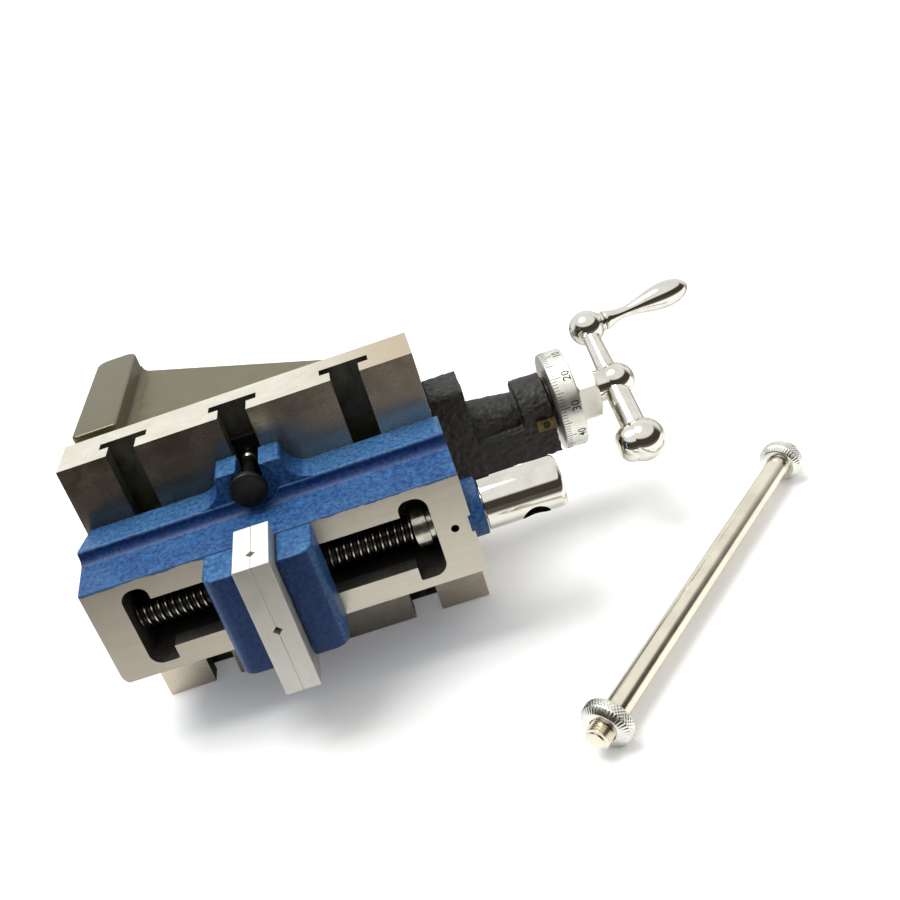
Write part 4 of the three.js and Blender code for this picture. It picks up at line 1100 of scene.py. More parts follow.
@dataclass
class SlideTable:
    """Slotted table with its gib, adjusting screws and lead nut."""

    body: str = "table"
    half_length: float = 62.5
    half_width: float = 50.0
    thickness: float = 20.0
    slot_pitch: float = 39.5
    neck_half: float = 5.0
    neck_depth: float = 7.0
    tee_half: float = 8.5
    tee_floor: float = 11.4
    rail_height: float = 6.0
    rail_reach: float = 42.0
    upper_flank: Pair = (30.52, 27.06)
    lower_flank: Pair = (34.33, 30.87)
    nut_spacing: float = 10.4
    nut_clear: float = 2.3
    nut_sink: float = 3.8
    nut_sink_depth: float = 3.9
    gib_pitch: float = 42.0
    gib_bore: float = 1.8
    gib_run_out: float = 2.6
    easing: float = 0.35
    gib_easing: float = 0.2
    lead_nut_easing: float = 0.5
    gib_nut_easing: float = 0.25

    def build(self) -> None:
        """Makes every piece of the table."""
        self.plate()
        eased_node("gib_strip", self.body, BRASS, self.gib_easing)
        eased_node("lead_nut", self.body, BRONZE, self.lead_nut_easing)
        for i in (1, 2, 3):
            dress(f"gib_screw_{i}", BLACK_STEEL)
            eased_node(f"gib_nut_{i}", self.body, BRIGHT_STEEL, self.gib_nut_easing)
        for label in ("upper", "lower"):
            dress(f"nut_screw_{label}", BRIGHT_STEEL)

    def plate(self) -> bpy.types.Object:
        """Ground plate with three T-slots and two dovetail rails."""
        edge = self.half_length
        half = [(self.neck_half, 0.0), (self.neck_half, self.neck_depth), (self.tee_half, self.neck_depth),
                (self.tee_half, self.tee_floor)]
        outline: list[Pair] = [(-edge, 0.0)]
        for place in (-1, 0, 1):
            x = place * self.slot_pitch
            outline += [(x - reach, y) for reach, y in half]
            outline += [(x + reach, y) for reach, y in reversed(half)]
        outline += [(edge, 0.0), (edge, self.thickness), (-edge, self.thickness)]
        plate = Form.prism(Axis.Z, outline, (-self.half_width, self.half_width))
        back, face, reach = self.thickness, self.thickness + self.rail_height, self.rail_reach
        rails = []
        for side, (near, far) in ((1, self.upper_flank), (-1, self.lower_flank)):
            rail = [(back - OVERRUN, near), (back, near), (face, far), (face, reach), (back - OVERRUN, reach)]
            rails.append(Form.prism(Axis.X, [(y, side * z) for y, z in rail], (-edge, edge)))
        cuts = []
        floor = self.tee_floor
        for side in (-1, 1):
            centre = (0, 0, side * self.nut_spacing / 2)
            sink = (floor - OVERRUN, floor + self.nut_sink_depth)
            cuts.append(Form.bar(Axis.Y, self.nut_clear, (floor, back + OVERRUN), centre))
            cuts.append(Form.bar(Axis.Y, self.nut_sink, sink, centre))
        for place in (-1, 0, 1):
            centre = (place * self.gib_pitch, back + self.rail_height / 2, 0)
            ends = (-reach - OVERRUN, self.gib_run_out - self.lower_flank[1])
            cuts.append(Form.bar(Axis.Z, self.gib_bore, ends, centre))
        form = plate.joined(*rails).less(*cuts).eased(self.easing, 2)

        def choose(middle: Vector, normal: Vector) -> int:
            """Painted shade on the milled walls inside the slots and on the slotted face, painted light on
            the ground sides.
            """
            if middle.y < 2 * NEAR and normal.y < -UPRIGHT:
                return 2
            width, depth = self.tee_half + NEAR, middle.y - floor
            outer = depth < NEAR and abs(abs(middle.x) - self.slot_pitch) < width
            central = depth < self.nut_sink_depth + NEAR and abs(middle.x) < width
            return 1 if middle.y > 3 * NEAR and (outer or central) and abs(normal.z) < UPRIGHT else 0

        return form.piece("table_plate", self.body, [LIT_TABLE_SIDE, SHADED_SLOT_IRON, SHADED_TABLE_FRONT], choose,
                          stands_for=["slide_table"])


@dataclass
class LeadScrew:
    """Lead screw, dial, dial nut, ball crank and grip."""

    body: str = "leadscrew"
    depth: float = 34.0
    thread_x: Pair = (-51.0, 58.3)
    thread_radius: float = 5.0
    pitch: float = 2.0
    collar_x: Pair = (58.3, 62.5)
    collar_radius: float = 8.0
    journal_radius: float = 4.0
    tip: float = 126.9
    dial_x: Pair = (106.0, 114.4)
    dial_radius: float = 18.3
    nut_x: Pair = (114.7, 122.7)
    nut_radius: float = 12.0
    nut_turn: float = -31.0
    crank_turn: float = 26.7
    hub_x: float = 123.0
    hub_ball: float = 6.8
    arm_offset: float = 6.8
    grip_reach: float = 28.2
    grip_ball: float = 6.7
    balance_reach: float = 28.2
    balance_ball: float = 7.8
    balance_offset: float = 0.9
    balance_collar: float = 6.8
    balance_collar_reach: float = 9.1
    balance_rounding: tuple[Pair, ...] = (
        (0.0, 3.4), (0.5, 2.3), (1.3, 1.35), (2.4, 0.6), (3.7, 0.15), (5.0, 0.0))
    grip_lean: float = 6.6
    grip_seat: float = 6.8
    thread_height: float = 0.9
    thread_sink: float = 0.2
    collar_rim: tuple[Pair, ...] = ((0.0, 0.2), (0.2, 0.0))
    nut_chamfer: Pair = (1.1, 0.4)
    nut_easing: float = 0.12
    hub_length: float = 8.0
    hub_shape: tuple[Pair, ...] = ((0.0, 5.6), (0.4, 6.0), (7.6, 6.0), (8.0, 5.8))
    hub_bore: float = 4.2
    seat_shape: tuple[Pair, ...] = ((0.0, 3.8), (6.3, 3.8), (6.65, 3.65), (6.8, 3.3))
    arm_shape: tuple[Pair, ...] = (
        (-28.2, 4.5), (-19.2, 4.45), (-6.6, 4.4), (0.0, 4.4), (0.0, 3.6), (6.6, 3.55), (21.6, 3.1),
        (22.3, 3.3))
    grip_rivet: float = 2.35
    rivet_shape: tuple[Pair, ...] = ((0.02, 0.0), (0.1, 1.2), (0.35, 2.0), (0.6, 2.35), (1.1, 2.35))
    grip_sink: float = 1.4
    grip_shape: tuple[Pair, ...] = (
        (0.0, 3.3), (0.2, 3.7), (0.9, 3.75), (1.5, 3.55), (3.0, 2.95), (5.5, 2.3), (8.2, 2.1), (11.0, 2.35),
        (14.0, 2.95), (17.5, 3.85), (21.0, 4.65), (24.0, 5.0), (27.0, 4.95), (29.5, 4.5), (31.6, 3.7),
        (33.2, 2.6), (34.1, 1.4), (34.45, 0.5), (34.5, 0.0))
    bore: float = 4.3
    dial_rim: tuple[Pair, ...] = ((0.0, 0.6), (0.15, 0.2), (0.5, 0.0))
    dial_hollow: Pair = (13.4, 13.1)
    marks: int = 100
    mark_angle: float = 32.5
    mark_at_angle: int = 25
    mark_lengths: Triple = (3.6, 2.9, 1.9)
    mark_halves: Pair = (0.13, 0.1)
    ink_depth: float = 0.03
    mark_inset: float = 0.35
    number_inset: float = 1.0
    number_height: float = 4.11
    number_swell: float = 0.015

    def build(self) -> None:
        """Makes every piece on the lead screw's line."""
        self.screw()
        self.dial()
        self.scale()
        self.nut()
        self.crank()
        self.grip()

    @property
    def centre(self) -> Triple:
        """A point on the screw's axis."""
        return 0.0, self.depth, 0.0

    def _on_crank(self, form: Form) -> Form:
        """A form drawn with the screw's axis at Y and Z zero, turned with the crank and put in place."""
        return form.turned(self.crank_turn, Axis.X).shifted(0, self.depth, 0)

    def screw(self) -> None:
        """Threaded screw with its collar and journal."""
        root, journal = self.thread_radius - self.thread_height, self.journal_radius
        start, run_out = self.thread_x
        outline = [(start - 1, journal), (start, root), (run_out, root),
                   *rim(self.collar_x, self.collar_radius, self.collar_rim), (self.collar_x[1], journal),
                   (self.tip - 1, journal), (self.tip, journal - 1)]
        floor = root - self.thread_sink
        ridge = Form.thread(floor, self.thread_radius, self.pitch, self.thread_x, sides=24)
        form = self._on_crank(Form.lathe(Axis.X, outline, BOLD).beside(ridge))
        form.piece("lead_screw_thread", self.body, BRIGHT_STEEL, stands_for=["lead_screw"])
        dress("crank_pin", BRIGHT_STEEL)

    def dial(self) -> bpy.types.Object:
        """Graduated thimble with chamfered edges and a shallow groove at its front."""
        low, high = self.dial_x
        outer, inner = self.dial_hollow
        outline = [(low, self.bore), *rim(self.dial_x, self.dial_radius - self.ink_depth, self.dial_rim),
                   (high, outer), (high - 0.5, inner), (high - 0.5, self.bore)]
        form = Form.lathe(Axis.X, outline, 160, self.centre, True)
        return form.piece("dial_thimble", "dial", SATIN_STEEL, corner=TURNED_ANGLE, stands_for=["dial"])

    def _angle_of(self, mark: float) -> float:
        """Angle of a mark above the front of the dial, in radians."""
        return math.radians(self.mark_angle + (self.mark_at_angle - mark) * 360 / self.marks)

    def _wrapped(self, points: Iterable[Vector], mark: float, place: float) -> list[Vector]:
        """Lays flat points on the dial.

        Args:
            points: Points whose X runs along the dial's turn and whose Y runs towards the slide.
            mark: Mark that X zero lies on.
            place: Place along the screw that Y zero lies on.

        Returns:
            The points in the slide's frame.
        """
        made = []
        for point in points:
            turn = self._angle_of(mark) + point.x / self.dial_radius
            reach = self.dial_radius - self.ink_depth + point.z
            across, up = reach * math.cos(turn), reach * math.sin(turn)
            made.append(Vector((place - point.y, self.depth - across, up)))
        return made

    def scale(self) -> None:
        """Engraved lines and numbers, filled with black."""
        longest, middling, short = self.mark_lengths
        lines = Form()
        for mark in range(self.marks):
            length = longest if mark % 10 == 0 else middling if mark % 5 == 0 else short
            half = self.mark_halves[0 if mark % 5 == 0 else 1]
            corners = [(-half, 0), (half, 0), (half, -length), (-half, -length)]
            box = Form.prism(Axis.Z, corners, (0.0, self.ink_depth))
            laid = self._wrapped(box.points, mark, self.dial_x[0] + self.mark_inset)
            lines = lines.beside(Form(laid, box.faces))
        lines.piece("dial_lines", "dial", ENGRAVING)
        numbers = Form()
        for mark in range(0, self.marks, 10):
            flat = self._number(str(mark))
            laid = self._wrapped(flat.points, mark, self.dial_x[1] - self.number_inset)
            numbers = numbers.beside(Form(laid, flat.faces))
        numbers.piece("dial_numbers", "dial", ENGRAVING)

    def _number(self, text: str) -> Form:
        """Writes a number flat.

        Args:
            text: The number.

        Returns:
            Its flat form, centred along X and standing on Y zero.
        """
        curve = bpy.data.curves.new("number", "FONT")
        curve.body = text
        curve.align_x = "CENTER"
        curve.size = self.number_height
        curve.resolution_u = 3
        curve.offset = self.number_swell
        thing = placed("number", curve)
        mesh = thing.evaluated_get(bpy.context.evaluated_depsgraph_get()).to_mesh()
        points = [Vector((v.co.x, v.co.y, self.ink_depth)) for v in mesh.vertices]
        faces = [tuple(p.vertices) for p in mesh.polygons]
        thing.to_mesh_clear()
        bpy.data.objects.remove(thing)
        bpy.data.curves.remove(curve)
        return Form(points, faces)

    def nut(self) -> bpy.types.Object:
        """Hexagon nut with turned chamfers."""
        low, high = self.nut_x
        radius = self.nut_radius
        run, inset = self.nut_chamfer
        drop = inset + radius * (1 - math.cos(math.pi / 6))
        outline = rim(self.nut_x, radius + NEAR, ((0, drop), (run, 0)))
        chamfer = Form.lathe(Axis.X, outline, FINE, self.centre)
        hexagon = Form.hexagon(Axis.X, radius, self.nut_x, self.centre)
        hexagon = hexagon.turned(self.nut_turn, Axis.X, self.centre)
        bore = Form.bar(Axis.X, self.bore, (low - OVERRUN, high + OVERRUN), self.centre)
        form = hexagon.within(chamfer).less(bore).eased(self.nut_easing, 1)
        return form.piece("dial_hexagon", self.body, SATIN_STEEL, stands_for=["dial_nut"])

    def crank(self) -> bpy.types.Object:
        """Polished crank: two balls and a hub ball on one turned arm, hub, grip seat and balance collar."""
        start, end = self.hub_x, self.hub_x + self.hub_length
        arm_x = start + self.arm_offset
        arm = Form.lathe(Axis.Y, self._arm_outline(), FINE, (arm_x, 0, 0))
        hub = Form.lathe(Axis.X, [(start + run, radius) for run, radius in self.hub_shape])
        hub_ball = Form.lathe(Axis.X, arc((end, 0), self.hub_ball, 180, 0, 40))
        balance_x = arm_x + self.balance_offset
        centre = (0, -self.balance_reach, 0)
        ball = Form.lathe(Axis.X, arc((balance_x, 0), self.balance_ball, 180, 0, 40), FINE, centre)
        low = balance_x - self.balance_collar_reach
        rounding = [(low + rise, self.balance_collar - fall) for rise, fall in self.balance_rounding]
        collar = Form.lathe(Axis.X, [*rounding, (balance_x, self.balance_collar)], FINE, centre)
        seat = self._leaning(Form.lathe(Axis.X, self.seat_shape))
        pole = -self.grip_ball
        sink = self._leaning(Form.bar(Axis.X, self.grip_rivet + GAP, (pole - OVERRUN, pole + self.grip_sink)))
        bore = Form.bar(Axis.X, self.bore, (start - OVERRUN, start + self.hub_bore))
        form = arm.joined(hub, hub_ball, ball, collar, seat).less(sink, bore)
        return self._on_crank(form).piece("crank_polished", self.body, CHROME, corner=40,
                                          stands_for=["ball_crank"])

    def _arm_outline(self) -> list[Pair]:
        """Outline of the turned arm along Y, from the balance side to the grip's ball."""
        lean = math.degrees(math.asin(self.arm_shape[-1][1] / self.grip_ball))
        return [*self.arm_shape, *arc((self.grip_reach, 0), self.grip_ball, 180 - lean, 0, 40)]

    def _leaning(self, form: Form) -> Form:
        """A form drawn along X from the grip ball's middle, leaning as the grip does."""
        there = (self.hub_x + self.arm_offset, self.grip_reach, 0)
        return form.turned(self.grip_lean, Axis.Z).shifted(*there)

    def grip(self) -> None:
        """Turning grip with a shoulder ring, and the rivet in the ball."""
        start = self.grip_seat + GAP
        outline = self._smooth([(start + run, radius) for run, radius in self.grip_shape])
        pole = -self.grip_ball
        shank = Form.bar(Axis.X, 2.0, (pole + self.grip_sink, start + OVERRUN))
        form = self._on_crank(self._leaning(Form.lathe(Axis.X, outline).beside(shank)))
        form.piece("grip_polished", "grip", CHROME, corner=SOFT_ANGLE, stands_for=["grip"])
        outline = [(pole + run, radius) for run, radius in self.rivet_shape]
        rivet = self._on_crank(self._leaning(Form.lathe(Axis.X, outline, BOLD)))
        rivet.piece("rivet_polished", "grip", CHROME, corner=SOFT_ANGLE, stands_for=["grip_rivet"])

    @staticmethod
    def _smooth(outline: Sequence[Pair], rounds: int = 2) -> list[Pair]:
        """Cuts the corners of an outline, round by round.

        Args:
            outline: Points of the outline.
            rounds: Number of times that every corner is cut.

        Returns:
            The softer outline, with its ends kept.
        """
        points = list(outline)
        for _ in range(rounds):
            cut = [points[0]]
            for (a, b), (c, d) in zip(points, points[1:]):
                cut += [(a + share * (c - a), b + share * (d - b)) for share in (0.25, 0.75)]
            points = [*cut, points[-1]]
        return points


@dataclass
class Vice:
    """Self-centring vice clamped to the table: body, screw, collar, clamps and the two jaws."""

    body: str = "table"
    half_length: float = 64.0
    flange_half: float = 25.75
    flange_depth: float = 13.5
    flange_corner: float = 1.2
    flange_taper: float = 3.2
    hollow: float = 3.2
    root: Pair = (-15.21, 21.16)
    shoulder: Pair = (-28.4, 19.2)
    face: Pair = (-30.0, 18.7)
    ear_half: float = 11.5
    ear_shift: float = -0.1
    ear_reach: float = 35.5
    ear_depth: float = 13.0
    ear_fillet: float = 8.0
    clamp_reach: float = 28.8
    clamp_shift: float = -1.2
    bead_y: float = 5.6
    bead_radius: float = 2.9
    clamp_rise: float = 1.2
    axis_depth: float = -20.7
    screw_radius: float = 5.0
    boss_radius: float = 9.8
    boss_length: float = 4.7
    face_corner: float = 4.5
    wall: float = 7.0
    cavity_end: float = -5.0
    window_reach: float = 52.0
    window_x: float = 47.2
    window_end: float = 9.5
    window_end_half: float = 15.2
    window_half: float = 10.0
    left_corners: tuple[float, ...] = (4.5, 0.8, 3.5, 4.5)
    right_corners: tuple[float, ...] = (0.8, 4.5, 4.5, 3.5)
    hollow_height: float = 24.17
    hollow_turn: float = -81.6
    boss_rim: tuple[Pair, ...] = ((-0.6, 0.0), (-0.15, 0.25), (0.0, 0.7))
    easing: float = 0.5
    cavity_lip: float = 0.7
    slot_slack: float = 0.001
    head_easing: float = 0.25
    nut_easing: float = 0.3
    tail_chamfer: float = 0.2
    waist_drop: float = 0.2
    thread_sink: float = 0.15
    bead_runs: Pair = (2.1, 2.3)
    bead_share: float = 0.75
    face_edge: tuple[Pair, ...] = ((-29.4, 18.98), (-29.85, 18.85), (-30.0, 18.55))
    ear_corner: float = 1.2
    clamp_seat_radius: float = 8.0
    clamp_slot_half: float = 4.0
    tail_bore: float = 3.8
    tail_run: float = 9.0
    oil_x: float = 58.1
    oil_radius: float = 1.35
    clamp_shape: tuple[Pair, ...] = (
        (-18.3, 5.6), (-18.2, 5.85), (-17.9, 6.1), (-17.4, 6.3), (-16.2, 6.3), (-15.7, 6.1), (-14.6, 5.3),
        (-13.3, 3.6), (-12.4, 2.7), (-11.6, 2.3), (-10.6, 2.2))
    clamp_neck: float = 2.2
    clamp_tip: tuple[Pair, ...] = ((7.0, 2.2), (7.0, 2.4), (11.0, 2.4), (11.1, 2.3))
    thread_x: Pair = (-51.7, 45.0)
    thread_core: float = 4.2
    waist_half: float = 3.0
    tail_x: float = -60.7
    tail_radius: float = 3.5
    shank_radius: float = 4.95
    collar_x: Pair = (45.0, 50.2)
    collar_end: float = 51.7
    collar_radius: float = 7.4
    collar_neck: float = 6.2
    collar_bore: float = 5.3
    collar_rim: tuple[Pair, ...] = ((0.0, 0.4), (0.15, 0.15), (0.5, 0.0))
    head_rim: tuple[Pair, ...] = ((0.0, 0.4), (0.15, 0.12), (0.4, 0.0))
    head_round: float = 2.0
    head_x: Pair = (69.0, 95.6)
    head_radius: float = 8.8
    hole_x: float = 84.7
    hole_radius: float = 4.6
    hole_turn: float = 45.0
    jaw_centre: float = -2.75
    pitch: float = 2.5

    def build(self) -> None:
        """Makes every piece of the vice."""
        self.casting()
        self.screw()
        for label in ("upper", "lower"):
            self.clamp(label)

    def _profile(self) -> list[Pair]:
        """Outline of the body across X, as depth and height."""
        corner, depth, half = self.flange_corner, self.flange_depth, self.flange_half
        upper = [(0.0, half), *arc((corner - depth, half - corner), corner, 90, 180, 10)]
        upper += arc((-depth - self.hollow, self.hollow_height), self.hollow, 0, self.hollow_turn, 10)
        return both_sides([*upper, self.shoulder, *self.face_edge])

    def _ear(self, side: int) -> Form:
        """Makes one clamping ear with a fillet at each flank.

        Args:
            side: 1 for the upper ear, -1 for the lower one.

        Returns:
            The ear.
        """
        half, radius, corner = self.ear_half, self.ear_fillet, self.ear_corner
        root, reach = self.flange_half, self.ear_reach
        wide = half + radius
        outline = [(wide, root - OVERRUN), *arc((wide, root + radius), radius, 270, 180, 12),
                   *arc((half - corner, reach - corner), corner, 0, 90, 4)]
        outline += [(-x, z) for x, z in reversed(outline)]
        outline = [(x + self.ear_shift, side * z) for x, z in outline]
        return Form.prism(Axis.Y, outline, (-self.ear_depth, 0.0))

    def _face_corner(self) -> Form:
        """Waste that is taken off to round the lower left corner of the face."""
        radius, edge, low = self.face_corner, -self.half_length, -self.face[1] - OVERRUN
        outline = [(edge - OVERRUN, low - OVERRUN), (edge + radius, low - OVERRUN),
                   *arc((edge + radius, low + radius), radius, 270, 180, 12), (edge - OVERRUN, low + radius)]
        return Form.prism(Axis.Y, outline, (self.face[0] - OVERRUN, self.root[0]))

    def _flange_end(self, side: int) -> Form:
        """Makes the waste that is taken off the left end of a flange, which slants back.

        Args:
            side: 1 for the upper flange, -1 for the lower one.

        Returns:
            The waste.
        """
        edge, taper, depth = -self.half_length, self.flange_taper, self.flange_depth
        outside = edge - OVERRUN
        outline = [(outside, -depth), (edge, -depth), (edge + taper, OVERRUN), (outside, OVERRUN)]
        ends = sorted((side * self.face[1], side * (self.flange_half + OVERRUN)))
        return Form.prism(Axis.Z, outline, ends)

    def casting(self) -> bpy.types.Object:
        """Blue body with its ground face, window, ears and boss."""
        end, face, reach, tall = self.half_length, self.face[0], self.window_reach, self.window_end_half
        body = Form.prism(Axis.X, self._profile(), (-end, end))
        centre = (0, self.axis_depth, 0)
        tip, radius = end + self.boss_length, self.boss_radius
        outline = [(end - OVERRUN, radius), *((tip + run, radius - drop) for run, drop in self.boss_rim)]
        boss = Form.lathe(Axis.X, outline, FINE, centre)
        front, back = face - OVERRUN, face + self.wall
        cuts = [Form.block((-reach, back - OVERRUN, -tall), (reach, self.cavity_end, tall)),
                Form.block((-self.window_x, front, -self.window_half),
                           (self.window_x, back, self.window_half))]
        slots = []
        for side, radii in ((-1, self.left_corners), (1, self.right_corners)):
            low = min(side * reach, side * (reach - self.window_end))
            outline = rounded_box((low, -tall), (low + self.window_end, tall), radii)
            cuts.append(Form.prism(Axis.Y, outline, (front, back)))
            clamp, half = (0, 0, side * self.clamp_reach), self.clamp_slot_half
            seat = (face, OVERRUN - self.ear_depth)
            cuts.append(Form.bar(Axis.Y, self.clamp_seat_radius, seat, clamp, BOLD))
            ends = sorted((clamp[2], side * (self.ear_reach + half)))
            slots.append(Form.block((-half, face, ends[0]), (half, OVERRUN, ends[1])))
            slots.append(Form.bar(Axis.Y, half - self.slot_slack, (face, OVERRUN), clamp))
        bores = [Form.bar(Axis.X, self.screw_radius + GAP, (reach - OVERRUN, tip + OVERRUN), centre),
                 Form.bar(Axis.X, self.tail_bore, (-reach - self.tail_run, OVERRUN - reach), centre),
                 Form.bar(Axis.Y, self.oil_radius, (front, self.axis_depth), (self.oil_x, 0, 0), 32)]
        body = body.less(self._face_corner(), self._flange_end(1), self._flange_end(-1))
        form = body.joined(boss, self._ear(1), self._ear(-1)).less(*cuts, *slots, *bores)
        form = form.eased(self.easing, 3)

        def choose(middle: Vector, normal: Vector) -> int:
            """Ground front and back, painted shade in the cavity and bores, painted light on the flange top,
            painted shade in the hollow below the flange, blue elsewhere.
            """
            x, y, z = abs(middle.x), middle.y, abs(middle.z)
            within = face + self.cavity_lip < y < self.cavity_end + NEAR
            inside = within and x < reach + NEAR and z < tall + NEAR
            deep = math.hypot(y - self.axis_depth, z) < self.screw_radius + 2 * GAP
            # Painted shade in the cavity and the bores.
            if inside or (deep and abs(normal.x) < 0.7):
                return 2
            flat_front = y < face + GAP and normal.y < -STEEP and middle.x < end
            if flat_front or (y > -GAP and normal.y > STEEP):
                return 1
            # Painted light: the paler blue on the flange's faces that face up.
            if z > self.flange_half - NEAR and normal.z > UPRIGHT:
                return 3
            # Painted shade: the deeper blue in the hollow, on faces that face the front.
            lip = -self.flange_depth
            hollow = lip - self.hollow < y < lip + NEAR and z < self.flange_half
            return 4 if hollow and normal.y < -0.45 and abs(normal.x) < 0.5 else 0

        finishes = [BLUE, VISE_GROUND, SHADED_INSIDE, LIT_BLUE, SHADED_BLUE]
        return form.piece("vise_casting", self.body, finishes, choose, stands_for=["vise_body"])

    def screw(self) -> None:
        """Screw with a left-hand and a right-hand thread, its chromed head, thrust collar and pin."""
        centre = (0, self.axis_depth, 0)
        (low, high), radius, curve = self.head_x, self.head_radius, self.head_round
        outline = [(low + run, radius - drop) for run, drop in self.head_rim]
        outline += arc((high - curve, radius - curve), curve, 90, 0, 9)
        hole = Form.bar(Axis.Y, self.hole_radius, (-12, 12), (0, 0, 0), BOLD).turned(self.hole_turn, Axis.X)
        head = Form.lathe(Axis.X, outline, 128, centre).less(hole.shifted(self.hole_x, self.axis_depth, 0))
        head = head.eased(self.head_easing, 2, 45)
        head.piece("vise_head", "vise_screw", CHROME, stands_for=["vise_screw"])
        start, stop = self.thread_x
        near, far = self.jaw_centre - self.waist_half, self.jaw_centre + self.waist_half
        tail, root, shank = self.tail_radius, self.thread_core, self.shank_radius
        chamfer, waist, floor = self.tail_chamfer, root - self.waist_drop, root - self.thread_sink
        outline = [(self.tail_x, tail - chamfer), (self.tail_x + chamfer, tail), (start, tail), (start, root),
                   (near, root), (near, waist), (far, waist), (far, root), (stop, root), (stop, shank),
                   (low + NEAR, shank)]
        threads = [Form.thread(floor, self.screw_radius, self.pitch, ends, hand)
                   for ends, hand in (((far, stop), -1), ((start, near), 1))]

        def choose(middle: Vector, normal: Vector) -> int:
            """Bright crests, dark flanks and core."""
            height = math.hypot(middle.y - self.axis_depth, middle.z)
            return 1 if abs(height - self.screw_radius) < NEAR else 0

        both = Form.lathe(Axis.X, outline, BOLD).beside(*threads).shifted(*centre)
        both.piece("vise_thread", "vise_screw", [THREAD_STEEL, BRIGHT_STEEL], choose)
        (first, last), end, bore, neck = self.collar_x, self.collar_end, self.collar_bore, self.collar_neck
        outline = [(first, bore), *rim(self.collar_x, self.collar_radius, self.collar_rim), (last, neck),
                   (end, neck), (end, bore)]
        collar = Form.lathe(Axis.X, outline, FINE, centre, True)
        collar.piece("thrust_collar", "vise_screw", BRIGHT_STEEL, corner=TURNED_ANGLE,
                     stands_for=["screw_collar"])
        dress("collar_pin", BRIGHT_STEEL)

    def clamp(self, label: str) -> None:
        """Clamp screw through an ear and its T-nut.

        Args:
            label: Which one, upper or lower.
        """
        side = 1 if label == "upper" else -1
        centre = (self.clamp_shift, 0, side * self.clamp_reach + (self.clamp_rise if side > 0 else 0))
        place, radius, neck = self.bead_y, self.bead_radius, self.clamp_neck
        before, after = self.bead_runs
        outline = [*self.clamp_shape, (place - before, neck), *arc((place, 0), radius, 128, 56, 9),
                   (place + after, neck), *self.clamp_tip]

        def choose(middle: Vector, normal: Vector) -> int:
            """Bright bead, black elsewhere."""
            return 1 if abs(middle.y - place) < radius * self.bead_share else 0

        form = Form.lathe(Axis.Y, outline, FINE, centre)
        form.piece(f"clamp_{label}_turned", self.body, [BLACK_STEEL, BRIGHT_STEEL], choose, corner=40,
                   stands_for=[f"clamp_screw_{label}"])
        eased_node(f"clamp_nut_{label}", self.body, BLACK_STEEL, self.nut_easing)


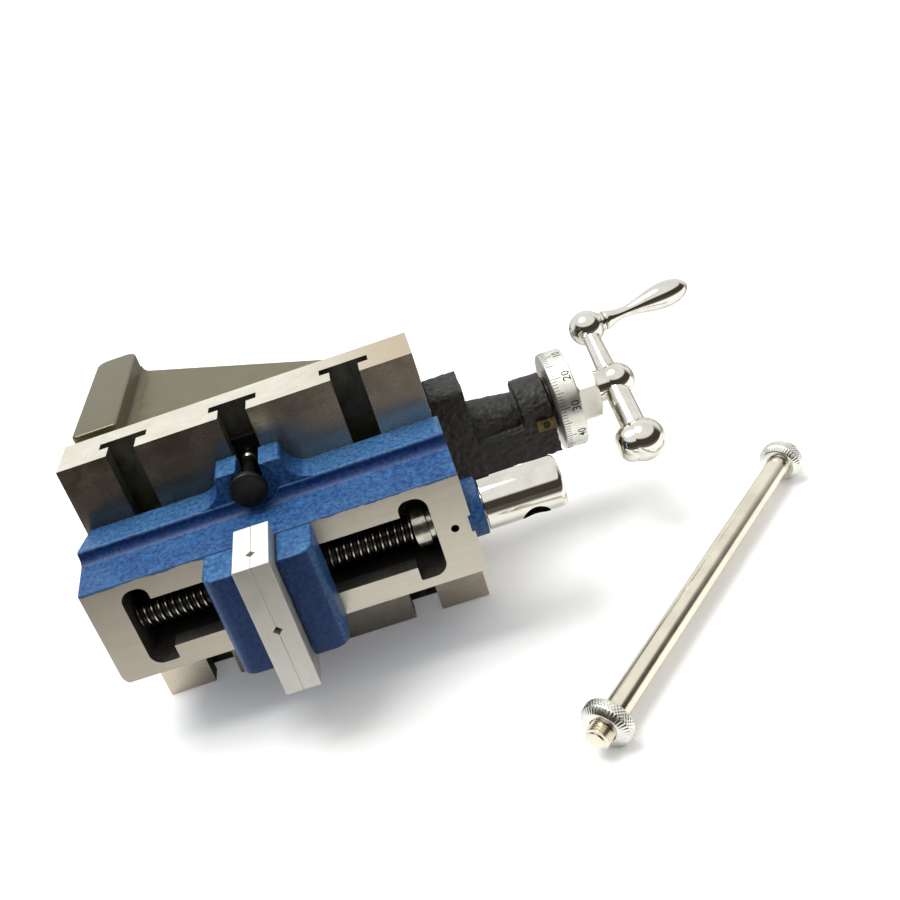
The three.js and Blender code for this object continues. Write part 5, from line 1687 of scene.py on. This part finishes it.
@dataclass
class Jaws:
    """Two sliding jaws, each a casting behind a ground plate with two screws.

    The right jaw is drawn, and the left one is the same turned round. Sizes along X are counted from where
    the closed jaws meet.
    """

    meeting: float = -2.75
    axis_depth: float = -20.7
    seat: float = -30.3
    casting_x: Pair = (6.15, 18.15)
    casting_drop: float = 16.7
    casting_half: float = 19.0
    casting_corner: float = 5.0
    tongue_x: Pair = (2.15, 10.15)
    tongue_end: float = -22.7
    tongue_half: float = 9.6
    foot_y: Pair = (-23.7, -8.5)
    foot_half: float = 14.5
    bore: float = 5.3
    plate_x: Pair = (0.02, 5.85)
    plate_drop: float = 24.7
    plate_half: float = 24.1
    vee_half: float = 2.6
    vee_depth: float = 1.6
    screw_drop: float = 8.25
    screw_reach: float = 14.0
    hole_radius: float = 2.8
    hole_end: float = 14.45
    sink_shape: tuple[Pair, ...] = ((-1.0, 4.9), (0.45, 4.9), (2.75, 2.8), (7.0, 2.8))
    screw_shape: tuple[Pair, ...] = ((0.45, 4.5), (0.55, 4.6), (2.45, 2.5), (14.15, 2.5))
    key: float = 1.6
    key_depth: float = 2.3
    easing: float = 1.0
    plate_easing: float = 0.1

    def build(self) -> None:
        """Makes both jaws."""
        for label in ("left", "right"):
            self.jaw(label)

    def _casting(self, places: Sequence[Triple]) -> Form:
        """Makes the casting: a block with a tongue through the window and a foot behind it.

        Args:
            places: Points on the axes of the two screws.

        Returns:
            The eased casting.
        """
        x, seat, half = self.meeting, self.seat, self.tongue_half
        low, high = (x + reach for reach in self.casting_x)
        near, far = (x + reach for reach in self.tongue_x)
        corners = [0, self.casting_corner, 0, 0]
        outline = rounded_box((low, seat - self.casting_drop), (high, seat), corners, 12)
        block = Form.prism(Axis.Z, outline, (-self.casting_half, self.casting_half))
        neck = Form.block((near, seat, -half), (far, self.tongue_end, half))
        bridge = Form.block((low, seat - OVERRUN, -half), (far, seat + OVERRUN, half))
        foot = Form.block((near, self.foot_y[0], -self.foot_half), (far, self.foot_y[1], self.foot_half))
        bore = Form.bar(Axis.X, self.bore, (near - OVERRUN, far + OVERRUN), (0, self.axis_depth, 0))
        ends = (low - OVERRUN, x + self.hole_end)
        holes = [Form.bar(Axis.X, self.hole_radius, ends, place) for place in places]
        return block.joined(neck, bridge, foot).less(bore, *holes).eased(self.easing, 4)

    def _plate(self, places: Sequence[Triple]) -> Form:
        """Makes the ground plate with crossed V-grooves and two sinks.

        Args:
            places: Points on the axes of the two screws.

        Returns:
            The eased plate.
        """
        x, seat, half = self.meeting, self.seat, self.vee_half
        plate = Form.block((x + self.plate_x[0], seat - self.plate_drop, -self.plate_half),
                           (x + self.plate_x[1], seat, self.plate_half))
        cross = seat - self.casting_drop
        vee = [(x - OVERRUN, -half), (x + self.vee_depth, 0), (x - OVERRUN, half)]
        wide = self.plate_half + OVERRUN
        level = Form.prism(Axis.Z, [(a, cross + b) for a, b in vee], (-wide, wide))
        upright = Form.prism(Axis.Y, vee, (seat - self.plate_drop - OVERRUN, seat + OVERRUN))
        outline = [(x + run, radius) for run, radius in self.sink_shape]
        sinks = [Form.lathe(Axis.X, outline, BOLD, place) for place in places]
        return plate.less(level, upright, *sinks).eased(self.plate_easing, 1)

    def jaw(self, label: str) -> None:
        """Jaw casting, its ground plate and the plate's two screws.

        Args:
            label: Which one, left or right.
        """

        def shade(middle: Vector, normal: Vector) -> int:
            """Painted light on faces that face up, painted shade on faces that face the front, the first
            finish elsewhere.
            """
            if normal.z > UPRIGHT:
                return 1
            return 2 if normal.y < -STEEP else 0

        def show(form: Form, name: str, finish: Finish | list[Finish], node: str) -> None:
            """Stands one piece of this jaw in place of its CAD node."""
            shape = form if label == "right" else form.turned(180, Axis.Y, (self.meeting, 0, 0))
            chooser = shade if isinstance(finish, list) else None
            shape.piece(name, body, finish, chooser, stands_for=[node])

        body = f"jaw_{label}"
        places = [(0, self.seat - self.screw_drop, side * self.screw_reach) for side in (-1, 1)]
        show(self._casting(places), f"jaw_{label}_casting", [BLUE, LIT_BLUE, SHADED_BLUE], body)
        grounds = [PLATE_GROUND, LIT_PLATE_TOP, PLATE_GROUND]
        show(self._plate(places), f"jaw_{label}_face", grounds, f"jaw_plate_{label}")
        x = self.meeting
        outline = [(x + run, radius) for run, radius in self.screw_shape]
        for level, place in zip(("lower", "upper"), places):
            socket = Form.hexagon(Axis.X, self.key, (x - OVERRUN, x + self.key_depth), place)
            screw = Form.lathe(Axis.X, outline, BOLD, place).less(socket)
            show(screw, f"face_screw_{label}_{level}", BLACK_STEEL, f"plate_screw_{label}_{level}")


@dataclass
class TommyBar:
    """Loose bar for the vice's cross hole, with a knurled nut at each end."""

    body: str = "tommy_bar"
    middle: Triple = (130.5, -37.4, -42.0)
    turn: float = 46.7
    half_length: float = 78.0
    radius: float = 3.9
    near_radius: float = 8.0
    far_radius: float = 7.5
    nut_length: float = 6.5
    nut_inset: float = 4.5
    thread_length: float = 11.5
    thread_radii: Pair = (3.1, 3.85)
    thread_pitch: float = 1.0
    thread_inset: float = 0.4
    rod_shape: tuple[Pair, ...] = ((0.0, 1.2), (0.5, 0.7), (11.5, 0.7), (11.5, 0.15), (11.8, 0.0))
    nut_bore: float = 4.2
    nut_face: Pair = (5.6, 6.0)
    nut_rise: float = 0.2
    rim_inset: float = 1.5
    knurls: int = 44
    knurl_rows: int = 14
    knurl_slant: float = 0.175
    knurl_depth: float = 0.28
    knurl_edge: float = 0.25

    def build(self) -> None:
        """Makes the rod and both nuts."""
        self.rod()
        self.nut("near", -1, self.near_radius)
        self.nut("far", 1, self.far_radius)

    def _laid(self, form: Form) -> Form:
        """A form drawn along X about zero, laid where the bar lies."""
        return form.turned(self.turn, Axis.Z).shifted(*self.middle)

    def rod(self) -> None:
        """Polished rod with a short thread at each end."""
        end = self.half_length
        core = Form.lathe(Axis.X, rim((-end, end), self.radius, self.rod_shape))
        self._laid(core).piece("tommy_polished", self.body, NICKEL, stands_for=["tommy_rod"])
        start, stop = end - self.thread_length, end - self.thread_inset
        for label, ends in (("near", (-stop, -start)), ("far", (start, stop))):
            ridge = self._laid(Form.thread(*self.thread_radii, self.thread_pitch, ends, sides=32))
            ridge.piece(f"tommy_thread_{label}", self.body, NICKEL)

    def nut(self, label: str, side: int, reach: float) -> None:
        """Round nut with a knurled rim and coned faces.

        Args:
            label: Which one, near or far.
            side: -1 for the near end, 1 for the far end.
            reach: Radius over the knurls.
        """
        outer = side * (self.half_length - self.nut_inset)
        low = min(outer, outer - side * self.nut_length)
        high = low + self.nut_length
        start, stop = low + self.rim_inset, high - self.rim_inset
        bore, (face, shoulder) = self.nut_bore, self.nut_face
        rows = [(start + (stop - start) * i / self.knurl_rows, reach) for i in range(self.knurl_rows + 1)]
        outline = [(low, bore), (low, face), (low + self.nut_rise, shoulder), *rows,
                   (high - self.nut_rise, shoulder), (high, face), (high, bore)]
        form = Form.lathe(Axis.X, outline, self.knurls * 6, ring=True)
        slant = self.knurls * self.knurl_slant
        for point in form.points:
            radius = math.hypot(point.y, point.z)
            if radius < reach - 0.01:
                continue
            turn = math.atan2(point.z, point.y) * self.knurls / 2
            along = (point.x - start) / (stop - start)
            cross = abs(math.sin(turn + along * slant) * math.sin(turn - along * slant))
            drop = self.knurl_depth * (1 - cross) + (self.knurl_edge if along in (0.0, 1.0) else 0.0)
            scale = (radius - drop) / radius
            point.y *= scale
            point.z *= scale
        self._laid(form).piece(f"tommy_{label}_knurled", self.body, PALE_NICKEL, corner=SOFT_ANGLE,
                               stands_for=[f"tommy_nut_{label}"])


@dataclass
class Studio:
    """Floor, lamps, world and the camera at the photograph's viewing angle."""

    camera_place: Triple = (58.549, -337.972, 230.408)
    right: Triple = (0.946672, -0.072509, -0.313934)
    down: Triple = (-0.311509, -0.454876, -0.834296)
    forward: Triple = (-0.082307, 0.887598, -0.453205)
    focal: float = 1063.478
    middle: Pair = (346.116, 473.304)
    picture: float = 900.0
    sensor: float = 36.0
    clip: Pair = (0.01, 50.0)
    sun_from: Triple = (-0.25, 0.05, 1.0)
    sun_angle: float = 34.0
    sun_strength: float = 1.8
    floor_reach: float = 12.0
    floor_drop: float = 0.0002
    floor_glow: float = 0.14
    floor_roughness: float = 0.75
    floor_shine: float = 0.1
    floor_fade: Pair = (-0.215, -0.11)
    floor_beyond: Pair = (0.03, 0.12)
    paper: Colour = (0.97, 0.97, 0.965, 1.0)
    paper_near: Colour = (0.08, 0.07, 0.06, 1.0)
    paper_beyond: Colour = (0.3, 0.29, 0.27, 1.0)
    paper_bounce: Colour = (0.6, 0.59, 0.58, 1.0)
    sky_above: Pair = (0.5, 0.64)
    sky_behind: Pair = (-0.05, 0.45)
    sky_dark: Colour = (0.06, 0.05, 0.04, 1.0)
    sky_light: Colour = (0.95, 0.95, 0.93, 1.0)

    def build(self) -> None:
        """Sets up everything that isn't part of the object."""
        scene = bpy.context.scene
        scene.view_settings.view_transform = "Standard"
        self.camera(scene)
        self.floor()
        self.lamps()
        self.world(scene)

    def camera(self, scene: bpy.types.Scene) -> None:
        """Camera fitted to the photograph."""
        data = bpy.data.cameras.new("camera")
        data.sensor_width = self.sensor
        data.lens = self.focal * self.sensor / self.picture
        data.shift_x = (self.picture / 2 - self.middle[0]) / self.picture
        data.shift_y = (self.middle[1] - self.picture / 2) / self.picture
        data.clip_start, data.clip_end = self.clip
        thing = placed("camera", data)
        axes = (Vector(self.right), -Vector(self.down), -Vector(self.forward))
        matrix = Matrix(axes).transposed().to_4x4()
        matrix.translation = Vector(self.camera_place) * MILLIMETRE
        thing.matrix_world = matrix
        scene.camera = thing

    def floor(self) -> None:
        """Plain pale floor that throws less back from near the camera and, in mirrors, from beyond."""
        mesh = bpy.data.meshes.new("floor")
        reach = self.floor_reach
        corners = [(x * reach, y * reach, 0) for x, y in ((-1, -1), (1, -1), (1, 1), (-1, 1))]
        mesh.from_pydata(corners, [], [(0, 1, 2, 3)])
        thing = placed("floor", mesh)
        thing.location.z = -self.floor_drop
        graph = Graph(bpy.data.materials.new("floor"))
        near = graph.step(graph.along(Axis.Y), *self.floor_fade)
        paths = graph.nodes.new("ShaderNodeLightPath")
        mirrored = graph.sum("MAXIMUM", paths.outputs["Is Glossy Ray"], paths.outputs["Is Transmission Ray"])
        beyond = graph.step(graph.along(Axis.Y), *self.floor_beyond)
        bounce = graph.mix(mirrored, self.paper_bounce, graph.mix(beyond, self.paper, self.paper_beyond))
        bounce = graph.mix(near, self.paper_near, bounce)
        seen = paths.outputs["Is Camera Ray"]
        graph.dress(Base_Color=graph.mix(seen, bounce, self.paper), Roughness=self.floor_roughness,
                    Specular_IOR_Level=self.floor_shine, Emission_Color=WHITE,
                    Emission_Strength=graph.sum("MULTIPLY", seen, self.floor_glow))
        mesh.materials.append(graph.material)

    def lamps(self) -> None:
        """Broad sun from nearly overhead, a little to the left, which keeps the shadows soft."""
        lamp = bpy.data.lights.new("key", "SUN")
        lamp.angle = math.radians(self.sun_angle)
        lamp.energy = self.sun_strength
        thing = placed("key", lamp)
        thing.rotation_mode = "QUATERNION"
        thing.rotation_quaternion = (-Vector(self.sun_from)).to_track_quat("-Z", "Y")

    def world(self, scene: bpy.types.Scene) -> None:
        """Pale studio: bright above and behind, dark low in front, plain white to the camera."""
        world = bpy.data.worlds.new("studio")
        scene.world = world
        graph = Graph(world, "Generated")
        above = graph.step(graph.along(Axis.Z), *self.sky_above)
        behind = graph.step(graph.along(Axis.Y), *self.sky_behind)
        tone = graph.mix(graph.sum("MAXIMUM", above, behind), self.sky_dark, self.sky_light)
        graph.dress(Color=tone, Strength=1.0)
        white = graph.nodes.new("ShaderNodeBackground")
        white.inputs["Color"].default_value = WHITE
        paths = graph.nodes.new("ShaderNodeLightPath")
        switch = graph.nodes.new("ShaderNodeMixShader")
        sources = (paths.outputs["Is Camera Ray"], graph.shader.outputs[0], white.outputs[0])
        for source, target in zip(sources, switch.inputs):
            graph.wire(source, target)
        graph.wire(switch.outputs[0], graph.nodes["World Output"].inputs["Surface"])


def main() -> None:
    """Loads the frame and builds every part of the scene."""
    logging.basicConfig(level=logging.INFO, format="%(message)s")
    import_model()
    Studio().build()
    for assembly in (AngleBase(), SlideTable(), LeadScrew(), Vice(), Jaws(), TommyBar()):
        LOG.info("building %s", type(assembly).__name__)
        assembly.build()


if __name__ == "__main__":
    main()
